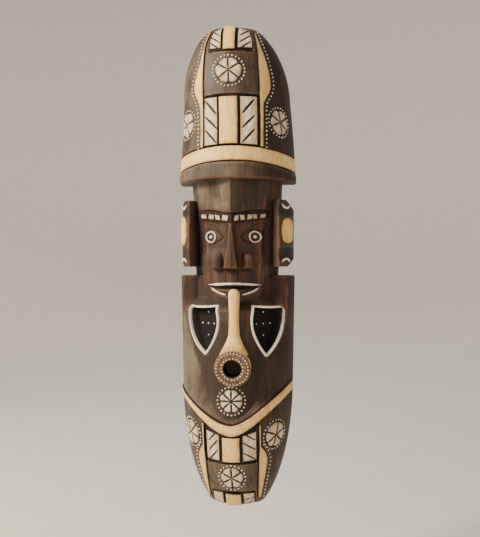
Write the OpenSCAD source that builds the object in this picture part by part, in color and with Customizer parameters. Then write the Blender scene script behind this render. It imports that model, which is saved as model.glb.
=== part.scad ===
// Carved wall mask of a pipe smoker, cut from half a log.
// Millimetres, Z up. The face looks along -Y and the flat back lies on the wall at y = 0.
// Every shape is laid out by its height above the bottom tip and then lowered by
// hook_h, so that the origin is the point where a wall hook carries the hanger ring.

/* [Log] */
// Height of the whole mask
mask_h = 500; // [499:1:504]
// Radius of the log at the brim of the hat
brim_r = 63.5; // [62:0.5:66]
// Radius of the log at the waist, where the tail starts to close in
waist_r = 59.8; // [58:0.1:61]
// Radius of the hat where its dome starts
crown_r = 58; // [57:0.5:60]
// Height of the waist
waist_h = 127; // [122:1:132]
// Drop over which the tail would close to a point
tail_drop = 148; // [145:1:160]
// Height where the dome of the hat starts
crown_h = 425; // [422:1:430]
// Rise over which the dome would close to a point
crown_rise = 88; // [88:1:96]

/* [Hat] */
// Height of the underside of the brim
brim_h = 337; // [334:1:340]
// Height of the lower edge of the pale band
band_lo = 355; // [353:1:357]
// Height of the upper edge of the pale band
band_hi = 370; // [368:1:371]
// How much lower the band is at its ends than in the middle
band_droop = 6; // [4:0.5:7]
// Lower edge of the dark panel in the middle of the hat
panel_lo = 421; // [418:1:424]
// Upper edge of the dark panel in the middle of the hat
panel_hi = 468; // [464:1:472]

/* [Head] */
// Height of the tops of the shoulders
shoulder_h = 240; // [236:1:244]
// Depth of the forehead ridge
ridge_d = 60.5; // [58:0.5:61]
// Distance of each eye from the centre line
eye_x = 23; // [21:0.5:24]
// Height of the eyes
eye_h = 279.5; // [276:0.5:283]
// Height of the upper lip
lip_h = 230; // [228:0.5:232]

/* [Chest] */
// Depth of the sunk chest on the centre line
chest_d = 51; // [50:0.5:53]
// How far behind the wall the axis of the sunk chest lies, which flattens it
chest_back = 12; // [8:1:14]
// Half width of the sunk chest
chest_w = 51.5; // [51:0.5:52]
// How far the carver set the pipe and the shields to the right
offset_x = 3; // [0:0.5:4]
// Distance from the axis of the log to the floor of a shield
shield_floor = 43; // [41:0.5:45]

/* [Pipe] */
// Radius of the bowl
bowl_r = 19.5; // [18:0.5:20]
// Radius of the hole in the bowl
bowl_hole_r = 9; // [7:0.5:10]
// Height of the middle of the bowl
bowl_h = 147; // [146:1:150]
// Depth of the rim of the bowl
bowl_rim_d = 65; // [63:0.5:67]
// Downward tilt of the rim in degrees
bowl_tilt = 8; // [0:1:10]
// Width of the stem
stem_w = 11.5; // [10:0.5:13]

/* [Tail] */
// Height of the lowest point of the collar's inner edge
collar_h = 89.5; // [88:0.5:91]
// Width of the collar at the middle
collar_w = 11.5; // [10:0.5:12]
// Lower edge of the leaf bay in the tail
tail_bay_lo = 50; // [48:1:52]
// Lower edge of the dark panel in the tail
tail_panel_lo = 17; // [16:1:18]

/* [Carving] */
// How far a bay is sunk below the surface of the log
bay_d = 1.6; // [1:0.1:2]
// How far a strip or rib stands above the surface of the log
relief_t = 1.0; // [0.6:0.1:1.4]
// Distance from the centre line to the inner edge of each rib
rib_x = 28; // [27:0.5:29]
// Distance of the right hat rib from the centre line, which the carver set wider
right_rib_x = 30; // [28:0.5:31]
// Gap left for glue under each fitted piece
glue_gap = 0.06; // [0.04:0.01:0.1]

/* [Hanger] */
// Wire radius of the hanger ring
wire_r = 1.2; // [1:0.1:1.3]
// Radius of the middle of the wire
ring_r = 10; // [9:0.5:11]
// Depth of the pocket that hides the hanger
pocket_d = 9; // [8.5:0.1:10]
// Height of the ring's hinge
hinge_h = 462; // [460:1:463]

/* [Hidden] */

$fn = 64;
far = 90;                 // longer than the log is deep
left = -1;
right = 1;
dark_wood = "#4a3a30";
pale_wood = "#dcc596";
chalk = "#ece4d6";
bowl_wood = "#7a4a2c";
steel = "#a9abad";

// The hanger: the ring leans back until its wire nearly meets the pocket's floor.
ring_lean = 8;
strap_t = 1.2;
strap_w = 14;
strap_drop = 20;
knuckle_r = 2.6;
hinge_clear = 0.05;
hinge_y = -pocket_d + knuckle_r + 0.1;
hook_h = hinge_h + (ring_r - wire_r) * cos(ring_lean);
pocket_w = 30;
screw_r = 1.3;
screw_len = 11;
screw_drops = [8, 15];

// Radius of the log at height h.
function lerp(a, b, t) = a + (b - a) * t;
function log_r(h) =
    h > crown_h ? crown_r * sqrt(max(0, 1 - pow((h - crown_h) / crown_rise, 2)))
    : h > brim_h ? lerp(brim_r, crown_r, (h - brim_h) / (crown_h - brim_h))
    : h > waist_h ? lerp(waist_r, brim_r, (h - waist_h) / (brim_h - waist_h))
    : waist_r * sqrt(max(0, 1 - pow((waist_h - h) / tail_drop, 2)));

// Heights at which the log's outline is drawn, closer together where it curves.
tail_steps = 12;
dome_steps = 11;
tail_levels = [for (i = [0:tail_steps]) waist_h * sin(90 * i / tail_steps)];
dome_levels = [for (i = [0:dome_steps])
    crown_h + (mask_h - crown_h) * sin(90 * i / dome_steps)];
torso_levels = concat(tail_levels, [shoulder_h]);
hat_levels = concat([brim_h], dome_levels);

// The sunk chest is shallow at the collar and deepest under the chin.
throat_h = 208;
neck_h = 217;
neck_d = 41;
chest_levels = [60, throat_h, neck_h, shoulder_h + 1];
function chest_floor_r(h) = chest_back + (h <= throat_h ? chest_d : neck_d);

// Height of a collar edge over the centre line's height, at distance x.
collar_round = 14;
function collar_slope(x) = x < 0 ? 0.75 : 0.88;
function collar_rise(x) =
    sqrt(pow(collar_round, 2) + pow(collar_slope(x) * x, 2)) - collar_round;

// A point on the curve from a through the pull of b to c.
function bend(a, b, c, t) = a * pow(1 - t, 2) + b * 2 * t * (1 - t) + c * t * t;
function curve(a, b, c, n = 8) = [for (i = [0:n]) bend(a, b, c, i / n)];

module placed() {
    translate([0, 0, -hook_h]) children();
}

// Half a turned shape in front of the wall, from points of radius and height.
module half_turn(points) {
    rotate([0, 0, 180]) rotate_extrude(angle = 180) polygon(points);
}

// The log between two offsets from its surface.
module shell(levels, inner, outer) {
    half_turn(concat(
        [for (h = levels) [log_r(h) + inner, h]],
        [for (i = [len(levels) - 1:-1:0]) [log_r(levels[i]) + outer, levels[i]]]
    ));
}

// A flat outline of x and height, pushed straight forward from the wall.
module push(angle = 0, from = 0, to = far) {
    rotate([0, 0, angle]) translate([0, -from, 0]) rotate([90, 0, 0])
        linear_extrude(to - from) children();
}

// A piece that lies on the hat or the tail, with its outline as the child.
module laid(levels, inner = glue_gap, outer = relief_t, angle = 0) {
    intersection() {
        shell(levels, inner, outer);
        push(angle) children();
    }
}

// Plan of the head at its top and at the chin: a ridge, two facets and two sides.
module head_plan(ridge, edge, side, grow) {
    polygon([
        [-side.x - grow, 0], [-side.x - grow, -side.y], [-edge.x - grow, -edge.y - grow],
        [0, -ridge - grow], [edge.x + grow, -edge.y - grow], [side.x + grow, -side.y],
        [side.x + grow, 0]
    ]);
}
module head_form(grow = 0) {
    chin_h = 212;
    slice = 0.01;
    hull() {
        translate([0, 0, brim_h - slice]) linear_extrude(slice)
            head_plan(ridge_d, [36.5, 38.5], [48.5, 14], grow);
        translate([0, 0, chin_h]) linear_extrude(slice)
            head_plan(48, [25, 36], [43, 14], grow);
    }
}

// A thin piece on the head, with its outline as the child.
module on_head(thick = 1.2, angle = 0) {
    intersection() {
        difference() {
            head_form(thick);
            head_form(glue_gap);
        }
        push(angle) children();
    }
}

module nose_form() {
    root_h = 291;
    tip_h = 247;
    hull() {
        translate([0, 0, root_h]) linear_extrude(0.01)
            polygon([[-2.5, -50], [0, -58.5], [2.5, -50]]);
        translate([0, 0, tip_h]) linear_extrude(0.01)
            polygon([[-9, -44], [-6.5, -60], [6.5, -60], [9, -44]]);
    }
    for (side = [left, right]) translate([side * 13.5, -46, 254.5]) sphere(7.2);
}

// The ears are what is left of the log beside the head.
ear_lo = 249;
ear_hi = 318;
ear_in = 45;
ear_out = 60.5;
module ear_form(side) {
    intersection() {
        half_turn([[40, ear_lo], [ear_out, ear_lo], [ear_out, ear_hi], [40, ear_hi]]);
        push() polygon([for (p = [
            [ear_in, ear_lo - 2], [54, ear_lo], [61, ear_lo + 8], [61, ear_hi - 9],
            [54, ear_hi - 1], [ear_in, ear_hi + 1]]) [side * p.x, p.y]]);
    }
}

// The chest is sunk inside an outline that narrows to a V and opens at the neck.
module chest_outline() {
    half = [[chest_w, shoulder_h + 1], [chest_w, 182], [46, 162], [37, 143], [31.5, 120],
        [26.5, 105], [15, 94.5]];
    polygon(concat(
        half, [[0, 90.5]], [for (i = [len(half) - 1:-1:0]) [-half[i].x, half[i].y]]
    ));
}
module chest_solid(grow = 0) {
    translate([0, chest_back, 0]) rotate_extrude() polygon(concat(
        [for (h = chest_levels) [chest_floor_r(h) + grow, h]],
        [[0, shoulder_h + 1], [0, 60]]
    ));
}
module chest_cut() {
    difference() {
        push() chest_outline();
        chest_solid();
    }
}

// A shield, drawn as it is met square on, with its tip nearer the centre line.
function shield_angle(side) = side * 42 + offset_x * 1.2;
module shield_outline(side, inset) {
    tip = side == left ? [6, 155.5 + 1.7 * inset] : [4.5, 153.8 + 1.7 * inset];
    points = concat(
        curve([-21 + inset, 210 - inset], [-25 + 1.2 * inset, 178], tip),
        curve(tip, [29 - 1.2 * inset, 184], [19 - inset, 211 - inset])
    );
    polygon([for (p = points) [-side * p.x, p.y]]);
}

// Frame of reference of the bowl, with its rim at z = 0 and its axis along -Z.
module at_bowl() {
    translate([offset_x, -bowl_rim_d, bowl_h]) rotate([90 + bowl_tilt, 0, 0]) children();
}
socket_r = 15;
bowl_len = 22;
bowl_step = 13.5;

// The trough gouged out of the back: a round gouge held behind the wall plane.
hollow_lo = 34;
hollow_hi = 431;
hollow_back = 14;
hollow_r = 46;
module hollow() {
    end = 40;
    steps = 6;
    translate([0, hollow_back, 0]) rotate_extrude() polygon(concat(
        [[0, hollow_lo]],
        [for (i = [1:steps]) [hollow_r * sin(90 * i / steps),
            hollow_lo + end * (1 - cos(90 * i / steps))]],
        [for (i = [steps:-1:1]) [hollow_r * sin(90 * i / steps),
            hollow_hi - end * (1 - cos(90 * i / steps))]],
        [[0, hollow_hi]]
    ));
}

// The band hangs lower at its ends.
module band_outline(gap) {
    xs = [for (x = [-64:8:64]) x];
    function droop(x) = band_droop * pow(x / 60, 2);
    polygon(concat(
        [for (x = xs) [x, band_lo - droop(x) + gap]],
        [for (i = [len(xs) - 1:-1:0]) [xs[i], band_hi - droop(xs[i]) - gap]]
    ));
}
module band_bed() {
    intersection() {
        shell(hat_levels, -2.5, 12);
        push() band_outline(0);
    }
}

module block_at(lo, hi, w) {
    translate([-w / 2, lo]) square([w, hi - lo]);
}

crown_shift = 2;
module bays() {
    intersection() {
        shell(hat_levels, -bay_d, 20);
        push() {
            translate([(right_rib_x - rib_x) / 2, 0])
                block_at(band_hi - 2, panel_lo, rib_x + right_rib_x - 1);
            translate([crown_shift, 0]) block_at(panel_hi, mask_h + 1, 46);
        }
    }
    intersection() {
        shell(torso_levels, -bay_d, 20);
        push() {
            polygon(concat(
                [[-rib_x + 1, tail_bay_lo], [rib_x - 1, tail_bay_lo]],
                [for (x = [rib_x - 1:-3:-rib_x + 1]) [x, 79 + collar_rise(x)]]
            ));
            block_at(-1, tail_panel_lo, 44);
        }
    }
}

module carved_block() {
    color(dark_wood) placed() difference() {
        union() {
            half_turn(concat([[0, brim_h]],
                [[brim_r, brim_h], [brim_r - 0.4, band_lo - 1], [log_r(band_lo), band_lo - 1],
                    [log_r(band_hi), band_hi]],
                [for (h = dome_levels) [log_r(h), h]], [[0, mask_h]]));
            difference() {
                half_turn(concat([[0, 0]], [for (h = torso_levels) [log_r(h), h]],
                    [[0, shoulder_h]]));
                chest_cut();
            }
            head_form();
            nose_form();
            ear_form(left);
            ear_form(right);
        }
        bays();
        band_bed();
        hollow();
        for (side = [left, right])
            push(shield_angle(side), shield_floor) shield_outline(side, 1);
        at_bowl() translate([0, 0, -bowl_len - glue_gap]) cylinder(h = 40, r = socket_r + glue_gap);
        hanger_pocket();
    }
}

module hanger_pocket() {
    top = hinge_h + ring_r + 9;
    bottom = hinge_h - strap_drop - 2;
    translate([-pocket_w / 2, -pocket_d, bottom]) cube([pocket_w, pocket_d + 1, top - bottom]);
    for (drop = screw_drops) translate([0, -pocket_d + 1, hinge_h - drop]) rotate([90, 0, 0])
        cylinder(h = screw_len + 1, r = screw_r + hinge_clear);
}

module hat_band() {
    color(pale_wood) placed() intersection() {
        shell(hat_levels, glue_gap - 2.5, 0);
        push() band_outline(glue_gap);
    }
}

// A rib swells once towards its outer side and is a thin strip above and below.
left_rib = [
    [31, 369], [31, 405], [32, 413], [35, 420], [37.6, 427], [38.2, 433], [36.4, 441],
    [33, 450], [30, 459], [28, 468], [26.4, 477], [24.6, 485], [20.5, 494.5],
    [18.6, 494], [22.3, 485], [24.4, 477], [25.6, 465], [26.6, 448], [27.8, 430], [28, 369]
];
right_rib = [
    [33, 369], [33, 411], [34.2, 416], [38.5, 424], [40.6, 431], [40.4, 441], [37.8, 455],
    [35, 466], [31, 478], [28.4, 487.5],
    [26.6, 487], [28, 478], [29.6, 465], [30, 445], [30, 369]
];
module hat_rib(side, outline) {
    color(pale_wood) placed() laid(hat_levels)
        polygon([for (p = outline) [side * p.x, p.y]]);
}
module hat_rib_left() { hat_rib(left, left_rib); }
module hat_rib_right() { hat_rib(right, right_rib); }

module crown_strip() {
    color(pale_wood) placed() laid(hat_levels, glue_gap - bay_d)
        translate([0.6, 0]) block_at(panel_hi + 1, mask_h, 12.8);
}
module crown_leaf(side, near_x, far_x) {
    color(chalk) placed() laid(hat_levels, glue_gap - bay_d, -0.3)
        polygon([for (p = [[near_x, 471], [far_x, 471.5], [far_x - 0.6, 484], [far_x - 4.5, 494],
            [near_x, 497.5]]) [side * p.x, p.y]]);
}
module crown_leaf_left() { crown_leaf(left, 7.4, 20.4); }
module crown_leaf_right() { crown_leaf(right, 9.2, 24.4); }

strip_w = 18;
hat_strip_w = 19;
strip_shift = -1.5;
module hat_strip() {
    color(pale_wood) placed() laid(hat_levels, glue_gap - bay_d)
        translate([strip_shift, 0]) block_at(band_hi + 1, panel_lo - 0.5, hat_strip_w);
}
module hat_leaf(side) {
    near_x = hat_strip_w / 2 + side * strip_shift + (side == left ? 1.2 : 2.2);
    far_x = side == left ? rib_x - 0.8 : right_rib_x - 2.8;
    color(chalk) placed() laid(hat_levels, glue_gap - bay_d, -0.3)
        translate([side * (near_x + far_x) / 2, 0])
            block_at(band_hi + 1, panel_lo - 1, far_x - near_x);
}
module hat_leaf_left() { hat_leaf(left); }
module hat_leaf_right() { hat_leaf(right); }

// A round flower, with a slit between each two petals.
module rosette_plan(r, h, petals) {
    slit = 1;
    hub = petals * slit / 4;
    difference() {
        translate([0, h]) circle(r);
        translate([0, h]) for (i = [0:petals - 1]) rotate(i * 360 / petals + 90)
            translate([hub, -slit / 2]) square([r - hub - 1.2, slit]);
    }
}
module hat_rosette_front() {
    color(chalk) placed() laid(hat_levels) rosette_plan(13.5, 446.5, 6);
}
module hat_side_rosette(side) {
    color(chalk) placed() laid(hat_levels, angle = side * 54) rosette_plan(13, 396.5, 6);
}
module hat_rosette_left() { hat_side_rosette(left); }
module hat_rosette_right() { hat_side_rosette(right); }

// The brow is a row of short pale blocks under a groove.
module brow(side, count) {
    span = 31;
    pitch = span / count;
    color(chalk) placed() on_head() for (i = [0:count - 1]) {
        x = 3 + i * pitch;
        polygon([for (p = [[x, 294 + x * 0.14], [x + pitch - 2, 294 + (x + pitch) * 0.14],
            [x + pitch - 2, 300.5 + x * 0.08], [x, 300 + x * 0.08]]) [side * p.x, p.y]]);
    }
}
module brow_left() { brow(left, 4); }
module brow_right() { brow(right, 5); }

// Each eye is a ring round a small pupil.
module eye_ring(side) {
    ring_out = 6.2;
    ring_in = 4.8;
    pupil = 1.5;
    facet_turn = 29.5;
    at = eye_x / cos(facet_turn) - 42.5 * sin(facet_turn) + 0.6;
    color(chalk) placed() on_head(1.2, side * facet_turn)
        translate([side * (at - 5.6), eye_h]) {
            difference() {
                circle(ring_out);
                circle(ring_in);
            }
            circle(pupil);
        }
}
module eye_ring_left() { eye_ring(left); }
module eye_ring_right() { eye_ring(right); }

// What lies on an ear is seen square on from this angle.
ear_turn = 64;
ear_mid = (ear_lo + ear_hi) / 2;
module on_ear(side, thick, turn = ear_turn) {
    intersection() {
        half_turn([[ear_out + glue_gap, ear_lo], [ear_out + thick, ear_lo],
            [ear_out + thick, ear_hi], [ear_out + glue_gap, ear_hi]]);
        push(side * turn) children();
    }
}
module ear_plug(side) {
    half_w = 12;
    half_h = side == left ? 15.5 : 13;
    color(pale_wood) placed() on_ear(side, 1.6, 67) translate([0, ear_mid + 3]) {
        block_at(-half_h + half_w, half_h - half_w, 2 * half_w);
        for (end = [-1, 1]) translate([0, end * (half_h - half_w)]) circle(half_w);
    }
}
module ear_plug_left() { ear_plug(left); }
module ear_plug_right() { ear_plug(right); }

module ear_crescents(side) {
    arc_r = 12.1;
    color(chalk) placed() on_ear(side, 0.8) for (end = [-1, 1])
        translate([0, ear_mid + end * 38]) intersection() {
            difference() {
                circle(arc_r);
                translate([0, end * 1.8]) circle(arc_r);
            }
            translate([-9, end > 0 ? -arc_r - 0.2 : arc_r - 4.4]) square([18, 4.6]);
        }
}
module ear_crescents_left() { ear_crescents(left); }
module ear_crescents_right() { ear_crescents(right); }

module upper_lip_line() {
    color(chalk) placed() on_head() translate([offset_x / 2, 0]) block_at(lip_h, lip_h + 1.8, 50);
}
module lower_lip(side) {
    points = concat(
        curve([24, lip_h - 3], [18, lip_h - 9], [8.5, lip_h - 11]),
        curve([8.5, lip_h - 9.2], [17, lip_h - 7], [21.5, lip_h - 2.5])
    );
    color(chalk) placed() on_head() translate([offset_x / 2, 0])
        polygon([for (p = points) [side * p.x, p.y]]);
}
module lower_lip_left() { lower_lip(left); }
module lower_lip_right() { lower_lip(right); }

module pipe_stem() {
    top_h = 226;
    flare_h = 178;
    face_d = 58.5;
    half = stem_w / 2;
    color(pale_wood) placed() difference() {
        push(from = 30, to = face_d) translate([offset_x, 0]) polygon(concat(
            [for (a = [0:15:180]) [half * cos(a), top_h - half + half * sin(a)]],
            curve([-half, flare_h], [-half - 2, flare_h - 8], [-bowl_r + 2, bowl_h + 5]),
            curve([bowl_r - 2, bowl_h + 5], [half + 2, flare_h - 8], [half, flare_h])
        ));
        chest_solid(glue_gap);
        head_form(glue_gap);
        at_bowl() translate([0, 0, -60]) cylinder(h = 80, r = bowl_r + glue_gap);
    }
}

// The bowl has a round spigot that is glued into a socket in the chest.
module pipe_bowl() {
    hole_d = 17;
    color(bowl_wood) placed() difference() {
        at_bowl() {
            translate([0, 0, -bowl_len]) cylinder(h = bowl_len, r = socket_r);
            translate([0, 0, -bowl_step]) cylinder(h = bowl_step, r1 = bowl_r - 1, r2 = bowl_r);
        }
        at_bowl() translate([0, 0, -hole_d]) cylinder(h = hole_d + 1, r = bowl_hole_r);
        difference() {
            chest_solid(glue_gap);
            at_bowl() translate([0, 0, -60]) cylinder(h = 80, r = socket_r);
        }
    }
}

module shield_frame(side) {
    lip_d = 3;
    color(chalk) placed() intersection() {
        difference() {
            chest_solid(1.2);
            chest_solid(-lip_d);
        }
        push(shield_angle(side), shield_floor) difference() {
            shield_outline(side, 1.1);
            shield_outline(side, 3.4);
        }
    }
}
module shield_frame_left() { shield_frame(left); }
module shield_frame_right() { shield_frame(right); }

module chest_rosette() {
    color(chalk) placed() intersection() {
        difference() {
            chest_solid(1.4);
            chest_solid(glue_gap);
        }
        push() rosette_plan(12, 112.5, 8);
    }
}

// The collar hangs over the chest in a rounded V and is narrowest at its left end.
function collar_taper(x) = (x < 0 ? 0.1 : 0.03) * abs(x);
module collar() {
    xs = [for (x = [-60:4:60]) x];
    color(pale_wood) placed() laid(torso_levels) polygon(concat(
        [for (x = xs) [x, collar_h + collar_rise(x)]],
        [for (i = [len(xs) - 1:-1:0])
            [xs[i], collar_h - collar_w + collar_taper(xs[i]) + collar_rise(xs[i])]]
    ));
}

module tail_strip() {
    color(pale_wood) placed() laid(torso_levels, glue_gap - bay_d)
        block_at(tail_bay_lo + 0.3, collar_h - collar_w - 0.8, strip_w);
}
module tail_leaf(side) {
    color(chalk) placed() laid(torso_levels, glue_gap - bay_d, -0.3)
        polygon([for (p = [[11.5, 51.5], [25, 53], [25.5, 84], [11.5, 79]]) [side * p.x, p.y]]);
}
module tail_leaf_left() { tail_leaf(left); }
module tail_leaf_right() { tail_leaf(right); }
module tail_rosette_front() {
    color(chalk) placed() laid(torso_levels) rosette_plan(12, 33.5, 6);
}
module tail_side_rosette(side) {
    color(chalk) placed() laid(torso_levels, angle = side * 51) rosette_plan(13, 77, 6);
}
module tail_rosette_left() { tail_side_rosette(left); }
module tail_rosette_right() { tail_side_rosette(right); }

module tail_rib(side) {
    belly_h = 50;
    outer = concat(
        [[rib_x + 2, 90], [rib_x + 1.8, 68]],
        curve([rib_x + 2, 66], [rib_x + 8, 60], [rib_x + 7.5, belly_h], 5),
        curve([rib_x + 7.5, belly_h], [rib_x + 5, 34], [rib_x - 1, 8], 6)
    );
    inner = [[rib_x - 3.5, 8], [rib_x - 2, 30], [rib_x - 0.6, 52], [rib_x, 64], [rib_x, 90]];
    color(pale_wood) placed() laid(torso_levels)
        polygon([for (p = concat(outer, inner)) [side * p.x, p.y]]);
}
module tail_rib_left() { tail_rib(left); }
module tail_rib_right() { tail_rib(right); }

module tip_strip() {
    color(pale_wood) placed() laid(torso_levels, glue_gap - bay_d)
        block_at(0, tail_panel_lo - 2, 16);
}
module tip_leaf(side) {
    color(chalk) placed() laid(torso_levels, glue_gap - bay_d, -0.3)
        translate([side * 15.5, 0]) block_at(3, tail_panel_lo - 1, 11);
}
module tip_leaf_left() { tip_leaf(left); }
module tip_leaf_right() { tip_leaf(right); }

// Frame of reference of the ring's hinge, with the hinge pin along X.
module at_hinge() {
    translate([0, hinge_y, hinge_h]) children();
}
module along_x(r, len) {
    rotate([0, 90, 0]) cylinder(h = len, r = r, center = true);
}
module hanger_strap() {
    color(steel) placed() difference() {
        union() {
            at_hinge() along_x(knuckle_r, strap_w);
            translate([-strap_w / 2, -pocket_d + 0.1, hinge_h - strap_drop])
                cube([strap_w, strap_t, strap_drop]);
        }
        at_hinge() along_x(wire_r + hinge_clear, strap_w + 2);
        for (drop = screw_drops) translate([0, -pocket_d - 1, hinge_h - drop])
            rotate([-90, 0, 0]) cylinder(h = 4, r = screw_r + hinge_clear);
    }
}
module hanger_ring() {
    color(steel) placed() at_hinge() rotate([ring_lean, 0, 0]) {
        along_x(wire_r, 2 * ring_r);
        rotate([90, 0, 0]) rotate_extrude(angle = 180) translate([ring_r, 0]) circle(wire_r);
        for (side = [left, right]) translate([side * ring_r, 0, 0]) sphere(wire_r);
    }
}
module hanger_screws() {
    head_y = -pocket_d + 0.1 + strap_t;
    color(steel) placed() for (drop = screw_drops)
        translate([0, head_y, hinge_h - drop]) rotate([90, 0, 0]) {
            cylinder(h = screw_len, r = screw_r);
            difference() {
                translate([0, 0, -1.4]) cylinder(h = 1.4, r = 2.8);
                translate([-3, -0.3, -1.5]) cube([6, 0.6, 0.7]);
            }
        }
}

carved_block();
hat_band();
hat_rib_left();
hat_rib_right();
crown_strip();
crown_leaf_left();
crown_leaf_right();
hat_strip();
hat_leaf_left();
hat_leaf_right();
hat_rosette_front();
hat_rosette_left();
hat_rosette_right();
brow_left();
brow_right();
eye_ring_left();
eye_ring_right();
ear_plug_left();
ear_plug_right();
ear_crescents_left();
ear_crescents_right();
upper_lip_line();
lower_lip_left();
lower_lip_right();
pipe_stem();
pipe_bowl();
shield_frame_left();
shield_frame_right();
chest_rosette();
collar();
tail_strip();
tail_leaf_left();
tail_leaf_right();
tail_rosette_front();
tail_rosette_left();
tail_rosette_right();
tail_rib_left();
tail_rib_right();
tip_strip();
tip_leaf_left();
tip_leaf_right();
hanger_strap();
hanger_ring();
hanger_screws();
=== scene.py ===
import math

import bpy
import numpy as np
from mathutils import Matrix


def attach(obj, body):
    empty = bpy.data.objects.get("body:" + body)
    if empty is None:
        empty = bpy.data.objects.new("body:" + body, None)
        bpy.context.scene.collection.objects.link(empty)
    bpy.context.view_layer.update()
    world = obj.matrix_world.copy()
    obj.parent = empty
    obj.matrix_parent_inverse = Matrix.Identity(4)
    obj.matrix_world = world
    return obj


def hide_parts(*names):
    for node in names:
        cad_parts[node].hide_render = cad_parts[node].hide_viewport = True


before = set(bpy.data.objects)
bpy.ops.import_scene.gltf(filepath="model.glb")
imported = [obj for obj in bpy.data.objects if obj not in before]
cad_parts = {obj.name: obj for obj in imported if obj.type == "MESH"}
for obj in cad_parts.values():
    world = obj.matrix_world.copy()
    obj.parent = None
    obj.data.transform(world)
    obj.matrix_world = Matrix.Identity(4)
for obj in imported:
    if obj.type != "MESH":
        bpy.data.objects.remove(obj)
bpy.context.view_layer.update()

# ---------------------------------------------------------------------------
# Sizes in millimetres. Heights run up from the bottom tip, and z = 0 is the
# point where the wall hook carries the ring.
# ---------------------------------------------------------------------------
HOOK = 462 + 8.8 * math.cos(math.radians(8))
TOP = 500
CROWN, BRIM, WAIST = 425, 337, 127
CROWN_R, BRIM_R, WAIST_R = 58, 63.5, 59.8
DOME_RISE, TAIL_REACH = 88, 148
SHOULDER = 240
BAND_LO, BAND_HI, PANEL_LO, PANEL_HI = 355, 370, 421, 468
TAIL_LO, TIP_HI = 50, 17
COLLAR = 89.5           # top edge of the collar at its middle
RIB, RIGHT_RIB = 28, 30   # inner edges of the ribs
CROWN_LEAN = 4.6        # how far the crown leans to the left
DROOP = 6               # how far the ends of the band drop
BAY = 1.6               # how deep the bays under strips and leaves are cut
OFFSET = 3              # the pipe stands this far right of the middle
EYE_X, EYE_H, LIP_H = 23, 279.5, 230
EAR_IN, EAR_FACE, EAR_R, EAR_LO, EAR_HI = 45, 47.8, 60.5, 249, 318
RIB_LIFT, STRIP_LIFT, LEAF_LIFT, COLLAR_LIFT = 1.0, 1.9, 1.3, 1.1
EAR_TURN, PLUG_TURN = 64, 67
LET_IN = 1.2            # how deep a raised piece goes into the wood
PIT_FLOOR = 43          # floor of the shields, from the log's axis
HALF = math.pi / 2


def log_r(h):
    """Radius of the half log at height h."""
    h = np.asarray(h, float)
    dome = CROWN_R * np.sqrt(np.clip(1 - ((h - CROWN) / DOME_RISE) ** 2, 0, 1))
    hat = mix(BRIM_R, CROWN_R, (h - BRIM) / (CROWN - BRIM))
    body = mix(WAIST_R, BRIM_R, (h - WAIST) / (BRIM - WAIST))
    tail = WAIST_R * np.sqrt(np.clip(1 - ((WAIST - h) / TAIL_REACH) ** 2, 0, 1))
    return np.where(h > CROWN, dome, np.where(h > BRIM, hat, np.where(h > WAIST, body, tail)))


def mix(a, b, t):
    return a + (b - a) * t


def step(a, b, x):
    """0 below a, 1 above b, smooth between; falls where a is above b."""
    t = np.clip((np.asarray(x, float) - a) / (b - a), 0, 1)
    return t * t * (3 - 2 * t)


def soft_min(a, b, k):
    t = np.clip(0.5 + 0.5 * (b - a) / k, 0, 1)
    return mix(b, a, t) - k * t * (1 - t)


def soft_max(a, b, k):
    return -soft_min(-a, -b, k)


def wobble(u, v, cell_u, cell_v, seed):
    """Smooth seeded noise from -1 to 1 with one knot in each cell."""
    table = np.random.default_rng(seed).uniform(-1, 1, (64, 64))
    x, y = np.asarray(u, float) / cell_u + 200, np.asarray(v, float) / cell_v + 200
    i, j = np.floor(x).astype(int), np.floor(y).astype(int)
    fx, fy = step(0, 1, x - i), step(0, 1, y - j)
    low = mix(table[i % 64, j % 64], table[(i + 1) % 64, j % 64], fx)
    high = mix(table[i % 64, (j + 1) % 64], table[(i + 1) % 64, (j + 1) % 64], fx)
    return mix(low, high, fy)


def bend(a, b, c, n=14):
    """Points on the curve from a through the pull of b to c."""
    t = np.linspace(0, 1, n)[:, None]
    a, b, c = (np.array(p, float) for p in (a, b, c))
    return a * (1 - t) ** 2 + b * 2 * t * (1 - t) + c * t * t


def join(*parts):
    return np.vstack([np.atleast_2d(np.array(p, float)) for p in parts])


def near(u, v, path, closed=False):
    """Distance from each point (u, v) to a path of straight runs."""
    path = np.asarray(path, float)
    ends = np.roll(path, -1, axis=0) if closed else path[1:]
    best = np.full(np.shape(u), 1e9)
    for (ax, ay), (bx, by) in zip(path, ends):
        dx, dy = bx - ax, by - ay
        t = np.clip(((u - ax) * dx + (v - ay) * dy) / max(dx * dx + dy * dy, 1e-9), 0, 1)
        best = np.minimum(best, np.hypot(u - ax - t * dx, v - ay - t * dy))
    return best


def inside(u, v, path):
    """Signed distance to a closed outline: negative inside it."""
    path = np.asarray(path, float)
    hit = np.zeros(np.shape(u), bool)
    for (ax, ay), (bx, by) in zip(path, np.roll(path, -1, axis=0)):
        if ay != by:
            cross = (ay > v) != (by > v)
            hit ^= cross & (u < (bx - ax) * (v - ay) / (by - ay) + ax)
    d = near(u, v, path, closed=True)
    return np.where(hit, -d, d)


def flip(path, side):
    return np.asarray(path, float) * [side, 1]


# ---------------------------------------------------------------------------
# Outlines that both the carved wood and the pale pieces follow.
# ---------------------------------------------------------------------------
def soften(path, times=2):
    """A path with its corners cut, so that straight runs read as one curve."""
    path = np.asarray(path, float)
    for _ in range(times):
        a, b = path[:-1], path[1:]
        inner = np.stack([mix(a, b, 0.25), mix(a, b, 0.75)], axis=1).reshape(-1, 2)
        path = np.vstack([path[:1], inner[1:-1], path[-1:]])
    return path


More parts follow.
